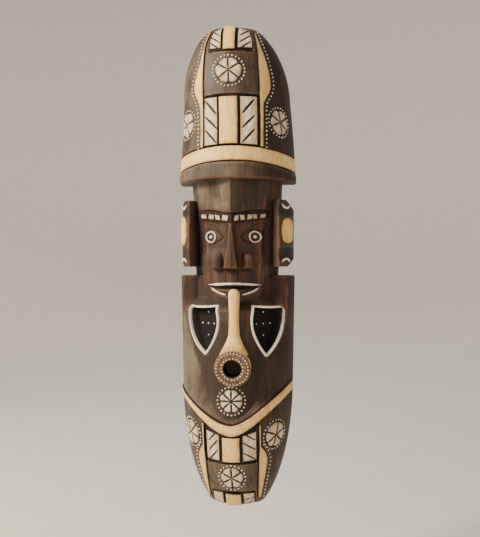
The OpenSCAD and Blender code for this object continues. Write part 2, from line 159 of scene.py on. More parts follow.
# Each hat rib as its outer and its inner edge: distance from the middle, and height.
HAT_RIBS = {
    -1: (soften([[31, 369], [31, 405], [32, 413], [35, 420], [37.6, 427], [38.2, 433], [36.4, 441],
                 [33, 450], [30, 459], [28, 468], [26.4, 477], [24.6, 485], [20.5, 494.5]]),
         soften([[28, 369], [27.8, 430], [26.6, 448], [25.6, 465], [24.4, 477], [22.3, 485],
                 [18.6, 494]])),
    1: (soften([[33, 369], [33, 411], [34.2, 416], [38.5, 424], [40.6, 431], [40.4, 441],
                [37.8, 455], [35, 466], [31, 478], [28, 487.5], [25.6, 493.5]]),
        soften([[30, 369], [30, 445], [29.6, 465], [28, 478], [26.2, 487], [24.6, 493]])),
}


TAIL_RIB_OUT = join(
    [RIB + 2, 90], [RIB + 1.8, 68], bend([RIB + 2, 66], [RIB + 8, 60], [RIB + 7.5, 50]),
    bend([RIB + 7.5, 50], [RIB + 5, 34], [RIB - 1, 8])[1:])
TAIL_RIB_IN = join([RIB, 90], [RIB, 64], [RIB - 0.6, 52], [RIB - 2, 30], [RIB - 3.5, 8])


def collar_rise(x):
    """Rise of the collar over its middle; the left arm climbs less."""
    x = np.asarray(x, float)
    return np.sqrt(14 ** 2 + (np.where(x < 0, 0.75, 0.88) * x) ** 2) - 14


def collar_low(x):
    x = np.asarray(x, float)
    return COLLAR - 11.5 + np.where(x < 0, 0.1, 0.03) * np.abs(x) + collar_rise(x)


def band_droop(x):
    return DROOP * (np.asarray(x, float) / 60) ** 2


def shield_turn(side):
    return math.radians(side * 42 + OFFSET * 1.2)


def shield_outline(side, inset):
    """One shield as it is met square on, with its tip nearer the centre line."""
    tip = [6, 155.5 + 1.7 * inset] if side < 0 else [4.5, 153.8 + 1.7 * inset]
    top_a, top_b = [-21 + inset, 210 - inset], [19 - inset, 211 - inset]
    return flip(join(
        bend(top_a, [-25 + 1.2 * inset, 178], tip),
        bend(tip, [29 - 1.2 * inset, 184], top_b)[1:],
        bend(top_b, [-1, 208.6 - inset], top_a, 9)[1:-1]), -side)


def rosette_spots():
    """Every flower: name, block, height, turn, radius, ring of dots, and its cuts in degrees."""
    return [
        ("hat_rosette_front", "hat", 446.5, 0, 13.2, 16.3, (91, 33, -40, -90, -143, 147)),
        ("hat_rosette_left", "hat", 396.5, -54, 12.6, 15.2, (84, 12, -62, -112, 192, 140)),
        ("hat_rosette_right", "hat", 396.5, 54, 12.6, 15.2, (98, 32, -35, -84, 202, 152)),
        ("chest_rosette", "torso", 112.5, 0, 11.6, 14.3, (90, 44, 3, -43, -88, -136, 181, 137)),
        ("tail_rosette_front", "torso", 33.5, 0, 11.2, 13.6, (92, 35, -30, -88, 213, 152)),
        ("tail_rosette_left", "torso", 77, -51, 12.6, 15.2, (100, 42, -20, -80, 203, 150)),
        ("tail_rosette_right", "torso", 77, 51, 12.6, 15.2, (80, 22, -40, -100, 160, 218)),
    ]


# ---------------------------------------------------------------------------
# The carved wood. Each block's front is a radius for every angle and height,
# with marks for burnt lines and painted shade, red rubbed edges, and grey wax with painted sheen.
# ---------------------------------------------------------------------------
class Cut:
    """One block's front while it is carved."""

    def __init__(self, phi, h, r, fine):
        self.phi, self.h, self.r, self.fine = phi, h, r, fine
        self.base = np.array(r, float)
        self.s = self.base * phi
        self.burn = np.zeros(np.shape(r))
        self.wax = np.zeros(np.shape(r))
        self.warm = np.zeros(np.shape(r))
        self.rub = np.zeros(np.shape(r))

    def across(self, path):
        """Turn a path of x and height into one of arc length and height."""
        path = np.asarray(path, float)
        r = np.maximum(log_r(path[:, 1]), 1)
        return np.column_stack([r * np.arcsin(np.clip(path[:, 0] / r, -1, 1)), path[:, 1]])

    def sink(self, depth, amount):
        self.r = self.r - depth * amount

    def darken(self, amount):
        """Darken to at least this amount, from 0 to 1, for burnt lines, black paint and painted
        shade.
        """
        self.burn = np.maximum(self.burn, amount)

    def groove(self, path, width, depth, burn=1.0, flat=False):
        """A V groove along a path, darkened at its bottom."""
        if not self.fine:
            return
        u = self.base * np.sin(self.phi) if flat else self.s
        path = np.asarray(path, float) if flat else self.across(path)
        d = near(u, self.h, path) + 0.18 * wobble(self.s, self.h, 5, 5, 3)
        self.sink(depth, 1 - step(0, width / 2, d))
        self.darken(burn * (1 - step(width * 0.25, width * 0.55, d)))


def flower_shadow(c, key):
    """A painted shadow line round each flower of a block."""
    for name, block_key, at, turn, r, ring, cuts in rosette_spots():
        if block_key == key and c.fine:
            off = np.hypot(c.base * (c.phi - math.radians(turn)), c.h - at) - r
            c.darken(0.75 * (1 - step(0.3, 1.1, np.abs(off))))


def hat_cut(phi, h, fine=True):
    """Brim, the band's bed, the bays between the ribs, and the grooves round each piece."""
    c = Cut(phi, h, log_r(h), fine)
    x = c.base * np.sin(phi)
    # The brim stands out a little and is rounded at its lower edge; the band's bed is sunk.
    lo, hi = BAND_LO - band_droop(x), BAND_HI - band_droop(x)
    c.r = np.where(h < BAND_LO - 1, BRIM_R - 0.4 * (h - BRIM) / (BAND_LO - BRIM), c.r)
    c.sink(2.4, 1 - np.sqrt(np.clip(1 - np.clip((BRIM + 3 - h) / 3, 0, 1) ** 2, 0, 1)))
    bed = step(-0.5, 0.3, h - lo) * step(0.4, -0.4, h - hi)
    c.r = mix(c.r, c.base - 2.5, bed)
    # Two bays between the ribs, cut back for the strips and leaves.
    left_s, right_s = c.across([[-RIB + 0.5, 400], [RIGHT_RIB - 0.5, 400]])[:, 0]
    bay = step(0, 0.8, h - hi) * step(PANEL_LO + 0.2, PANEL_LO - 0.7, h)
    bay = bay * step(right_s + 0.4, right_s - 0.5, c.s) * step(left_s - 0.4, left_s + 0.5, c.s)
    top = step(PANEL_HI - 0.2, PANEL_HI + 0.7, h) * step(
        0.4, -0.5, np.abs(x - 2) - np.interp(h, [468, 480, 490, 500], [23.4, 23, 20.5, 16]))
    c.sink(BAY, np.maximum(bay, top))
    if fine:
        # Painted shade: the bays are darkened as recesses and the right side as the shaded side,
        # and painted shadow lines run along the band's edges.
        c.darken(0.62 * np.maximum(bay, top))
        c.darken(0.32 * step(20, 42, x))
        for edge, sign in ((lo, -1), (hi, 1)):
            gap = sign * (h - edge)
            line = step(-1.5, -0.5, gap) * step(1.5 + 0.4 * wobble(c.s, h, 9, 9, 4), 0.7, gap)
            c.darken(line)
            c.sink(0.5, line * (gap > 0))
    for lip_h, x_lo, x_hi in ((PANEL_LO, -26, 28), (PANEL_HI, -20, 25)):
        c.groove([[x0, lip_h + 0.9 - 0.0012 * x0 * x0] for x0 in np.linspace(x_lo, x_hi, 15)],
                 2.1, 1.3)
    for side in (-1, 1):
        for edge in HAT_RIBS[side]:
            c.groove(flip(edge, side), 1.7, 0.8)
    flower_shadow(c, "hat")
    # The wood's red tone, more of it near the brim, and more on the right side as painted shade.
    c.warm = 0.12 + 0.6 * step(BRIM + 22, BRIM, h) * step(-30, 20, x) + 0.5 * step(20, 50, x)
    c.sink(1.8, 1 - np.sqrt(np.clip(1 - np.clip((h - TOP + 2.5) / 2.5, 0, 1) ** 2, 0, 1)))
    # Grey wax with painted sheen on the side that faces the light, less grey on the shaded right
    # side as painted shade, and a grey strip just under the band.
    c.wax = 0.65 + 0.35 * wobble(c.s, h, 22, 46, 11) - 0.6 * step(15, 40, x)
    c.wax = np.maximum(c.wax, 1.3 * step(1.2, 2.0, lo - h) * step(5.5, 2.6, lo - h))
    return c


def head_plan_r(phi, h):
    """Radius of the head: two planes that meet at a ridge, two cheeks and two flat sides."""
    t = np.clip((BRIM - h) / 125, -0.02, 1)
    ridge, ex, ey = mix(60.5, 48, t), mix(36.5, 25, t), mix(38.5, 36, t)
    sx, sy = mix(48.5, 43, t), 14
    u, v = np.maximum(np.abs(np.sin(phi)), 1e-4), np.cos(phi)
    facet = ridge / (v + (ridge - ey) / ex * u)
    cheek = ((ey - sy) * ex + (sx - ex) * ey) / ((ey - sy) * u + (sx - ex) * v)
    side = sx / u
    return soft_min(soft_min(facet, cheek, 1.2), side, 1.5)


ALMOND_TOP = join([9.5, 279], bend([9.5, 279], [17, 292.5], [36, 294.5]))
ALMOND_LOW = join([9.5, 279], bend([9.5, 279], [22, 263.5], [33.5, 284])[1:],
                  bend([33.5, 284], [35.5, 288.5], [36, 294.5], 6)[1:])
EYE_TOP = bend([10.5, 279], [20, 292.5], [33.5, 285])
EYE_LOW = bend([10.5, 279], [22, 266], [33.5, 285])


def head_cut(phi, h, fine=True):
    """Forehead, brow band, hollow eye planes, nose, nostrils and mouth."""
    c = Cut(phi, h, head_plan_r(phi, h), fine)
    x = c.base * np.sin(phi)
    ax = np.abs(x)
    # The brow hangs over hollow eye planes; the nose is left standing.
    brow_lo = 293 + 0.14 * ax
    under = step(brow_lo + 0.6, brow_lo - 1.6, h)
    hollow = under * step(256, 270, h) * step(39.5, 33, ax) * step(1.5, 6.5, ax)
    c.sink(3.4, hollow)
    lid = inside(ax, h, join(EYE_TOP, EYE_LOW[::-1][1:-1]))
    c.r = c.r + 1.5 * np.sqrt(np.clip(-lid / 7, 0, 1)) * (lid < 0)
    # The brow band, sunk between its two edges for the pale blocks.
    top_h = 302.4 + 3.6 * step(0, 26, ax)
    band = step(brow_lo - 0.9, brow_lo + 0.3, h) * step(top_h + 0.6, top_h - 0.6, h)
    band = band * step(36.5, 35, ax)
    c.sink(1.0, band)
    # Nose: a narrow root that widens to the tip, cut off flat underneath.
    t = np.clip((291 - h) / 44, 0, 1)
    half = mix(1.0, 5.6, t)
    nose_y = mix(57.6, 60.2, t)
    nose_on = step(246.4, 247.4, h) * step(294, 289, h)
    flank = nose_y - 0.22 * ax - 3.6 * np.clip(ax - half, 0, None)
    nose_r = np.clip(flank, 1, None) / np.maximum(np.cos(phi), 0.3)
    c.r = np.where(nose_on > 0, soft_max(c.r, mix(c.r, nose_r, nose_on), 0.8), c.r)
    # Nostril wings: two short round posts with domed tops.
    for mid in (-13.8, 15):
        d = np.hypot(np.clip(np.abs(x - mid) / 6.0, 0, None), np.clip((h - 255.5) / 8.2, 0, None))
        wing = np.sqrt(np.clip(1 - d ** 2, 0, 1)) * step(246.6, 247.8, h)
        c.r = np.maximum(c.r, (43.2 + 8.2 * wing) / np.maximum(np.cos(phi), 0.3) * (wing > 0))
    # Philtrum, the flat over the mouth, and the open mouth behind the stem.
    phil = step(6.8, 6.0, ax) * step(231, 232, h) * step(246.8, 246, h)
    c.r = mix(c.r, np.minimum(c.r, (mix(49.8, 47.6, (h - 231) / 16)) / np.cos(phi)), phil)
    shadow = step(246.9, 246.3, h) * step(241.5, 246, h) * step(21, 19, ax) * step(0.4, 1, ax)
    mouth = step(2.6, 0.4, np.abs(h - 227.2)) * step(26.5, 22, np.abs(x - OFFSET / 2))
    c.sink(2.4, mouth)
    jaw = inside(x - OFFSET / 2, h, [[-25.5, 229.5], [25.5, 229.5], [19, 221], [9, 218.4],
                                     [-9, 218.4], [-19, 221]])
    c.sink(1.3, step(0.8, -0.8, jaw))
    if fine:
        # Darker on the left below the brow; painted shade in the brow band's recess, inside the
        # open mouth, under the nose, and in the upper part of each eye under the brow.
        c.darken(0.26 * step(303, 294, h) * step(2, -12, x))
        c.darken(0.5 * band)
        c.darken(0.8 * mouth)
        c.darken(0.55 * shadow)
        c.darken(0.22 * hollow * step(262, 272, h) * step(0.5, -2, lid))
    edge_x = mix(36.5, 25, np.clip((BRIM - h) / 125, 0, 1))
    c.rub = step(2.6, 0.4, np.abs(ax - edge_x + 0.6)) * step(231, 240, h) * step(306, 296, h)
    lids = ((ALMOND_TOP, 0.5), (ALMOND_LOW, 0.35), (EYE_TOP, 0.6), (EYE_LOW, 0.5))
    brow_top = [[a, 302.6 + 4.2 * float(step(0, 26, a))] for a in np.linspace(0, 36, 13)]
    brow_foot = [[a, 292.8 + 0.14 * a] for a in np.linspace(0, 35, 8)]
    for side in (-1, 1):
        for lid_line, deep in lids:
            c.groove(flip(lid_line, side), 1.15, deep, 0.4 + deep / 2, flat=True)
        c.groove(flip(brow_top, side), 1.7, 0.9, 1.0, flat=True)
        c.groove(flip(brow_foot, side), 1.2, 0.5, 0.7, flat=True)
        c.groove([[side * 36, 307], [side * 36.4, 298]], 1.4, 0.5, flat=True)
        c.groove([[side * 6.6, 231.5], [side * 6.4, 246.5]], 1.3, 0.6, 0.8, flat=True)
        c.groove([[side * 7, 247], [side * 4.6, 262], [side * 3, 276], [side * 2.4, 288]],
                 1.2, 0.3, 0.5, flat=True)
    # Painted light: the forehead's left facet is lit grey through the wax mark and made less red.
    brow_light = step(303, 312, h) * step(12, -12, x)
    c.wax = 0.1 + 0.25 * wobble(c.s, h, 18, 40, 12) + 0.85 * brow_light
    c.warm = 0.75 + 0.2 * wobble(c.s, h, 14, 30, 16) - 0.5 * brow_light
    return c


def chest_floor_r(h):
    """Radius of the sunk chest about an axis 12 mm behind the wall."""
    return 63 - 10 * step(202, 220, h)


CHEST_SIDE = [(8, 94), (15, 97.5), (21, 102.5), (26.5, 109.5), (31.5, 121), (37, 143), (46, 162),
              (51.5, 182), (52.5, 205), (52.5, 245)]
CHEST_EDGE = join(flip(CHEST_SIDE[::-1], -1), [[0, 93]], CHEST_SIDE)


def bevel_edge():
    """Outer edge of the chest's bevel: the collar, then up the sides."""
    xs = np.linspace(-56, 56, 49)
    side = [(58.6, 136), (59, 160), (57.5, 185), (56, 205), (56, 246)]
    return join(flip(side[::-1], -1), np.column_stack([xs, COLLAR + collar_rise(xs) + 0.7]), side)


def torso_cut(phi, h, fine=True):
    """Shoulders, sunk chest with its bevel, shields, and the tail with its bays."""
    c = Cut(phi, h, log_r(h), fine)
    x = c.base * np.sin(phi)
    # The chest is a rounder, deeper log, met by a long bevel at its outline.
    big = chest_floor_r(h)
    floor = -12 * np.cos(phi) + np.sqrt(np.clip(big ** 2 - (12 * np.sin(phi)) ** 2, 1, None))
    inner, outer = inside(x, h, CHEST_EDGE), -inside(x, h, bevel_edge())
    lean = np.clip(inner, 0, None) / np.maximum(np.clip(inner, 0, None) + outer, 1e-3)
    lean = np.where(outer <= 0, 1, np.clip(lean, 0, 1))
    c.r = np.where(h > 85, mix(np.minimum(floor, c.r), c.r, lean), c.r)
    bevel = step(0, 1.5, inner) * step(0, 1, outer)
    ground = np.array(c.r)
    # Shield recesses, with floors square to the way they were cut.
    for side in (-1, 1):
        turn = shield_turn(side)
        u = ground * np.sin(phi - turn)
        d = inside(u, h, shield_outline(side, 1.6))
        pit_floor = PIT_FLOOR / np.maximum(np.cos(phi - turn), 0.5)
        pit_floor = pit_floor + np.interp(h, [160, 172], [5, 0])
        pit = step(0.5, -1.1, d)
        c.r = mix(c.r, np.minimum(c.r, pit_floor), pit * (np.abs(phi - turn) < 0.7))
        if fine:
            c.darken(step(0.4, -0.8, d) * (np.abs(phi - turn) < 0.7) * 0.97)
    # Tail bays and the bay at the very tip.
    over, under_collar = h - COLLAR - collar_rise(x), collar_low(x)
    inner_s = c.across([[RIB - 1, 70]])[0, 0]
    bay = step(TAIL_LO - 0.5, TAIL_LO + 0.5, h) * step(0.4, -0.4, h - under_collar)
    bay = bay * step(inner_s + 0.4, inner_s - 0.5, np.abs(c.s))
    tip = step(TIP_HI + 0.5, TIP_HI - 0.5, h) * step(23.4, 22.4, np.abs(x))
    c.sink(BAY, np.maximum(bay, tip))
    if fine:
        # Painted shade: the bays as recesses, shadow lines along the collar's edges, the sunk
        # chest, the throat under the chin, and the right side.
        c.darken(0.62 * np.maximum(bay, tip))
        for gap in (over - 0.3, under_collar - h - 0.3):
            line = step(1.6 + 0.4 * wobble(c.s, h, 9, 9, 4), 0.6, np.abs(gap))
            c.darken(line)
        painted_chest_shade = step(1.0, -2.5, inner) * step(205, 190, h) * step(88, 92, h)
        c.darken(painted_chest_shade * (0.34 + 0.06 * wobble(c.s, h, 20, 30, 19)))
        throat = step(-4, 4, h - 206) * mix(0.34, 0.44, step(44, 30, np.abs(x)))
        c.darken(throat)
        c.darken(0.3 * step(22, 42, x) * step(80, 110, h))
    for at, half in ((TAIL_LO, 24.5), (TIP_HI, 22)):
        lip = [[x0, at - 0.9 + 0.0012 * x0 * x0] for x0 in np.linspace(-half, half, 15)]
        c.groove(lip, 1.9, 1.1)
    for side in (-1, 1):
        for rib in (TAIL_RIB_OUT, TAIL_RIB_IN):
            c.groove(flip(rib, side), 2.1, 0.8)
    flower_shadow(c, "torso")
    c.sink(1.6, 1 - np.sqrt(np.clip(1 - np.clip((2.2 - h) / 2.2, 0, 1) ** 2, 0, 1)))
    c.sink(1.2, (1 - np.sqrt(np.clip(1 - np.clip((h - SHOULDER + 1.6) / 1.6, 0, 1) ** 2, 0, 1))))
    # Grey wax with painted sheen: the left bevel and the lower left of the tail are lit grey, and
    # there is less grey on the right side and near the throat as painted shade.
    c.wax = 0.4 + 0.3 * wobble(c.s, h, 20, 42, 13) + 0.7 * bevel * step(10, -10, x)
    c.wax = c.wax - 0.25 * step(0, 25, x) + 0.45 * step(70, 55, h) * step(30, 10, x)
    c.wax = c.wax * (1 - 0.85 * step(190, 210, h))
    # The wood's red tone, stronger at the throat and the outer sides, and stronger on the right
    # side as painted shade.
    c.warm = 0.12 + 0.75 * step(6, 32, x + 10 * wobble(c.s, h, 20, 50, 17)) * step(60, 90, h)
    c.warm = np.maximum(c.warm, 0.7 * step(196, 214, h) + 0.45 * step(48, 54, np.abs(x)))
    c.warm = np.maximum(c.warm, 0.5 * step(30, 50, x))
    return c


def ear_cut(phi, h, fine=True):
    """Each ear keeps the log's own curve."""
    return Cut(phi, h, np.full(np.shape(phi), EAR_R), fine)


CUTS = {"hat": hat_cut, "head": head_cut, "torso": torso_cut, "ear": ear_cut}


def ground(block, phi, h):
    """A point of a block's main form, without its fine grooves, in millimetres."""
    r = CUTS[block](phi, h, fine=False).r
    return np.stack([r * np.sin(phi), -r * np.cos(phi), h], axis=-1)


def bearing(block, u, h, turn=0.0):
    """Angle at which u millimetres across, seen square on from turn, meets the wood."""
    u, h = np.broadcast_arrays(np.asarray(u, float), np.asarray(h, float))
    phi = turn + np.arcsin(np.clip(u / 58, -1, 1))
    for _ in range(6):
        r = CUTS[block](np.clip(phi, -HALF, HALF), h, fine=False).r
        phi = turn + np.arcsin(np.clip(u / np.maximum(r, 1), -0.999, 0.999))
    return np.clip(phi, -HALF, HALF)


def landed(block, u, h, lift, turn=0.0):
    """Points lift millimetres off the wood, along its normal."""
    phi = bearing(block, u, h, turn)
    h = np.broadcast_to(np.asarray(h, float), phi.shape)
    p = ground(block, phi, h)
    e = 0.02
    across = ground(block, phi + e, h) - ground(block, phi - e, h)
    along = ground(block, phi, h + 1) - ground(block, phi, h - 1)
    n = np.cross(across, along)
    n /= np.maximum(np.linalg.norm(n, axis=-1, keepdims=True), 1e-9)
    return p + n * np.asarray(lift, float)[..., None], n


# ---------------------------------------------------------------------------
# Meshes
# ---------------------------------------------------------------------------
def metres(points):
    """Millimetres to the shared frame. The crown leans a little to the left, as carved, but
    not round the hanger's pocket."""
    p = np.array(points, float).reshape(-1, 3)
    x, y, h = p.T
    clear = 1 - step(30, 12, np.abs(x)) * step(-22, -10, y)
    p[:, 0] = x - CROWN_LEAN * np.clip((h - 380) / 110, 0, 1) ** 1.6 * clear
    p[:, 2] -= HOOK
    return p * 0.001


def make_mesh(name, points, faces, material, marks=None, crease=42):
    """A smooth mesh from millimetre points, with paint marks on its corners."""
    mesh = bpy.data.meshes.new(name)
    mesh.from_pydata(metres(points).tolist(), [], faces)
    for key, values in (marks or {}).items():
        layer = mesh.attributes.new(key, "FLOAT", "POINT")
        layer.data.foreach_set("value", np.asarray(values, np.float32).ravel())
    mesh.polygons.foreach_set("use_smooth", [True] * len(mesh.polygons))
    mesh.set_sharp_from_angle(angle=math.radians(crease))
    mesh.materials.append(material)
    mesh.update()
    piece = bpy.data.objects.new(name, mesh)
    bpy.context.scene.collection.objects.link(piece)
    return piece


def grid_faces(rows, cols, start=0, wrap_rows=False, wrap_cols=False, turned=False):
    faces = []
    for i in range(rows if wrap_rows else rows - 1):
        for j in range(cols if wrap_cols else cols - 1):
            a, b = start + i * cols + j, start + i * cols + (j + 1) % cols
            c, d = (start + ((i + 1) % rows) * cols + (j + 1) % cols,
                    start + ((i + 1) % rows) * cols + j)
            faces.append((a, d, c, b) if turned else (a, b, c, d))
    return faces


def slab_faces(rows, cols, wrap=False):
    """Faces of a thin piece: a grid of top points, then its underside in the same order."""
    size = rows * cols
    faces = grid_faces(rows, cols, wrap_rows=wrap)
    faces += grid_faces(rows, cols, size, wrap_rows=wrap, turned=True)
    for i in range(rows if wrap else rows - 1):
        a, b = i * cols, (i + 1) % rows * cols
        faces.append((a, b, size + b, size + a))
        a, b = a + cols - 1, b + cols - 1
        faces.append((b, a, size + a, size + b))
    for j in range(0 if wrap else cols - 1):
        faces.append((j + 1, j, size + j, size + j + 1))
        a = (rows - 1) * cols + j
        faces.append((a, a + 1, size + a + 1, size + a))
    return faces


def capped_tube(rows, cols, turned=False):
    """Faces of a closed skin: rows of points that go round, and a cap at each end."""
    low, high = tuple(range(cols)), tuple((rows - 1) * cols + j for j in range(cols))
    ends = [low, high[::-1]] if turned else [low[::-1], high]
    return grid_faces(rows, cols, wrap_cols=True, turned=turned) + ends


def edge_rub(r):
    """Where the carving stands proud of what is round it, 0 to 1."""
    soft = np.array(r)
    for _ in range(3):
        pad = np.pad(soft, 1, mode="edge")
        soft = (pad[:-2, 1:-1] + pad[2:, 1:-1] + pad[1:-1, :-2] + pad[1:-1, 2:]
                + pad[1:-1, 1:-1]) / 5
    return np.clip((r - soft) * 5.5, 0, 1) * 0.85


POCKET_LO, POCKET_HI, POCKET_DEEP = 440, 481, 9.0
POCKET_ROWS = [POCKET_LO - 0.2, POCKET_LO + 0.1, POCKET_HI - 0.2, POCKET_HI + 0.1]


def back_row(h, edge, inner, outer):
    """x and y across the back at height h, from +x to -x without the ends."""
    a, b = 15.4, 14.8       # either side of the pocket's wall
    lane = np.concatenate([np.linspace(edge, a, outer)[1:], np.linspace(a, b, 3)[1:],
                           np.linspace(b, -b, inner)[1:], np.linspace(-b, -a, 3)[1:],
                           np.linspace(-a, -edge, outer)[1:-1]])
    low = np.clip((74 - h) / 40, 0, 1)
    high = np.clip((h - 391) / 40, 0, 1)
    trough = 46 * math.sqrt(max(0, 1 - low ** 2)) * math.sqrt(max(0, 1 - high ** 2))
    depth = np.sqrt(np.clip(trough ** 2 - lane ** 2, 0, None)) - 14
    flute = 0.5 * np.abs(np.sin(lane / 2.9 + 1.7 * wobble(lane, h, 30, 24, 21)))
    flute = flute * (0.6 + 0.4 * np.sin(h / 7 + lane / 5))
    depth = np.where(depth > 0, np.maximum(depth - flute * step(0, 2, depth), 0), 0)
    pocket = (np.abs(lane) < 15.1) & (POCKET_LO < h < POCKET_HI)
    return lane, -np.where(pocket, POCKET_DEEP, depth)


def block(name, key, lo, hi, rows, cols):
    """One closed length of the half log: carved front, sawn ends, gouged back."""
    levels = np.linspace(lo, hi, rows)
    if key == "hat":
        levels = np.sort(np.concatenate([levels, POCKET_ROWS]))
    rows = len(levels)
    phi, h = np.meshgrid(np.linspace(-HALF, HALF, cols), levels)
    c = CUTS[key](phi, h)
    knife = 0.16 * wobble(c.s, h, 6, 17, 5) + 0.22 * wobble(c.s, h, 15, 40, 6)
    knife = knife * step(HALF, HALF - 0.1, np.abs(phi))
    r = c.r - 0.2 + knife - 0.12
    front = np.stack([r * np.sin(phi), -r * np.cos(phi), h], axis=-1)
    rub = np.maximum(edge_rub(r), c.rub)
    fronts = {"burn": c.burn, "rub": rub, "wax": c.wax, "warm": c.warm}
    back_value = {"burn": 0, "rub": 0, "wax": 0.1, "warm": 0.4}
    rings, marks = [], {kind: [] for kind in fronts}
    for i in range(rows):
        lane, y = back_row(levels[i], abs(r[i, -1]), inner=22, outer=16)
        back = np.stack([lane, y, np.full(len(lane), levels[i])], axis=-1)
        rings.append(np.vstack([front[i], back]))
        for kind, field in fronts.items():
            marks[kind].append(np.concatenate([field[i], np.full(len(lane), back_value[kind])]))
    return make_mesh(name, np.vstack(rings), capped_tube(rows, len(rings[0])), DARK,
                     {k: np.concatenate(v) for k, v in marks.items()}, crease=50)


def relief(name, block_key, u, h, lift, material, turn=0.0, wrap=False, marks=None):
    """A raised piece on the wood: rows of points across it, and an underside let into it."""
    top, n = landed(block_key, u, h, lift, turn)
    low = top - n * (np.asarray(lift, float)[..., None] + LET_IN)
    points = np.vstack([top.reshape(-1, 3), low.reshape(-1, 3)])
    both = {k: np.concatenate([np.ravel(v), np.ravel(v)]) for k, v in (marks or {}).items()}
    return make_mesh(name, points, slab_faces(*u.shape, wrap), material, both, crease=55)


def crown(distance, height, radius):
    """Height of a piece with rounded edges, by distance in from its edge."""
    t = np.clip(np.asarray(distance, float) / radius, 0, 1)
    return height * (0.35 + 0.65 * np.sqrt(1 - (1 - t) ** 2))


def even(path, count):
    """The same path with evenly spaced points."""
    path = np.asarray(path, float)
    run = np.concatenate([[0], np.cumsum(np.hypot(*np.diff(path, axis=0).T))])
    at = np.linspace(0, run[-1], count)
    return np.column_stack([np.interp(at, run, path[:, k]) for k in (0, 1)])


def knife_cut(u, v, a, b, width):
    """Depth, 0 to 1, of a pointed cut from a to b that is widest in its middle."""
    (ax, ay), (bx, by) = a, b
    dx, dy = bx - ax, by - ay
    t = np.clip(((u - ax) * dx + (v - ay) * dy) / (dx * dx + dy * dy), 0, 1)
    d = np.hypot(u - ax - t * dx, v - ay - t * dy)
    half = width / 2 * np.sqrt(np.clip(1 - (2 * t - 1) ** 2, 0, 1)) ** 0.8
    return np.clip(1 - d / np.maximum(half, 0.12), 0, 1)


def panel(name, block_key, left, right, rows, cols, height, material, cuts=(), round_mm=1.0,
          bulge=0.0, seed=1):
    """A strip between two edges, with V slashes cut in it where asked."""
    a, b = even(left, rows), even(right, rows)
    t = np.linspace(0, 1, cols)
    u = a[:, :1] + (b[:, :1] - a[:, :1]) * t
    h = a[:, 1:] + (b[:, 1:] - a[:, 1:]) * t
    width = np.hypot(*(b - a).T)[:, None]
    run = np.hypot(*np.diff((a + b) / 2, axis=0).T).sum()
    v = np.linspace(0, 1, rows)[:, None]
    rim = np.minimum(np.minimum(t, 1 - t) * width, np.minimum(v, 1 - v) * run)
    lift = crown(rim, height, round_mm) + bulge * (1 - (2 * t - 1) ** 2)
    lift = lift + 0.10 * wobble(u, h, 5, 12, seed + 40)
    burn = 1 - step(0.1, 0.9, rim)
    for a_end, b_end, width_mm in cuts:
        notch = knife_cut(u, h, a_end, b_end, width_mm)
        lift = lift - 1.0 * notch
        burn = np.maximum(burn, step(0.02, 0.3, notch))
    if u[0, 0] > u[0, -1]:
        u, h, lift, burn = (m[:, ::-1] for m in (u, h, lift, burn))
    if h[0, 0] > h[-1, 0]:
        u, h, lift, burn = (m[::-1] for m in (u, h, lift, burn))
    return relief(name, block_key, u, h, lift, material,
                  marks={"burn": burn, "rim": np.exp(-rim / 2.2)})


def disc(name, block_key, centre, outline, lift_of, material, turn=0.0, rings=12, spokes=72,
         burn_of=None, inner=0.0):
    """A round piece: rings of points from its middle (or inner edge) to its outline."""
    angle = np.linspace(0, 2 * math.pi, spokes, endpoint=False)[:, None]
    t = np.linspace(inner if inner else 0.02, 1, rings)[None, :]
    reach = outline(angle)
    du, dv = reach * t * np.cos(angle), reach * t * np.sin(angle)
    u, h = centre[0] + du, centre[1] + dv
    lift = lift_of(du, dv, (1 - t) * reach, angle)
    burn = burn_of(du, dv, (1 - t) * reach, angle) if burn_of else np.zeros(u.shape)
    rim = np.broadcast_to(np.exp(-(1 - t) * reach / 2), u.shape)
    if burn_of:
        rim = np.maximum(0.7 * rim, 0.9 * np.exp(-np.hypot(du, dv) / 3.2))
    return relief(name, block_key, u[::-1], h[::-1], lift[::-1], material, turn, wrap=True,
                  marks={"burn": burn[::-1], "rim": rim[::-1]})


# ---------------------------------------------------------------------------
# Materials
# ---------------------------------------------------------------------------
def ink(code):
    """A linear colour from an sRGB hex code."""
    out = []
    for k in (1, 3, 5):
        v = int(code[k:k + 2], 16) / 255
        out.append(v / 12.92 if v <= 0.04045 else ((v + 0.055) / 1.055) ** 2.4)
    return (*out, 1.0)


def put(tree, kind, settings=None, **links):
    """Add a node; links and plain values go to its inputs by name or number."""
    n = tree.nodes.new(kind)
    for key, value in (settings or {}).items():
        setattr(n, key, value)
    for key, value in links.items():
        name = key.replace("_", " ")
        numbered = name.startswith("in") and name[2:].isdigit()
        socket = n.inputs[int(name[2:])] if numbered else n.inputs[name]
        if isinstance(value, bpy.types.NodeSocket):
            tree.links.new(value, socket)
        else:
            socket.default_value = value
    return n


def ramp(tree, value, *stops):
    """Colours or grey levels spread over a value by their stops."""
    n = put(tree, "ShaderNodeValToRGB", Fac=value)
    bar = n.color_ramp.elements
    while len(bar) < len(stops):
        bar.new(0.5)
    for stop, (at, colour) in zip(bar, stops):
        stop.position = at
        stop.color = ink(colour) if isinstance(colour, str) else (colour, colour, colour, 1)
    return n.outputs["Color"]


def blend(tree, amount, a, b):
    """Colour a where amount is 0 and colour b where it is 1."""
    n = put(tree, "ShaderNodeMix", {"data_type": "RGBA"})
    for socket, value in ((n.inputs[0], amount), (n.inputs[6], a), (n.inputs[7], b)):
        if isinstance(value, bpy.types.NodeSocket):
            tree.links.new(value, socket)
        else:
            socket.default_value = ink(value) if isinstance(value, str) else value
    return n.outputs[2]


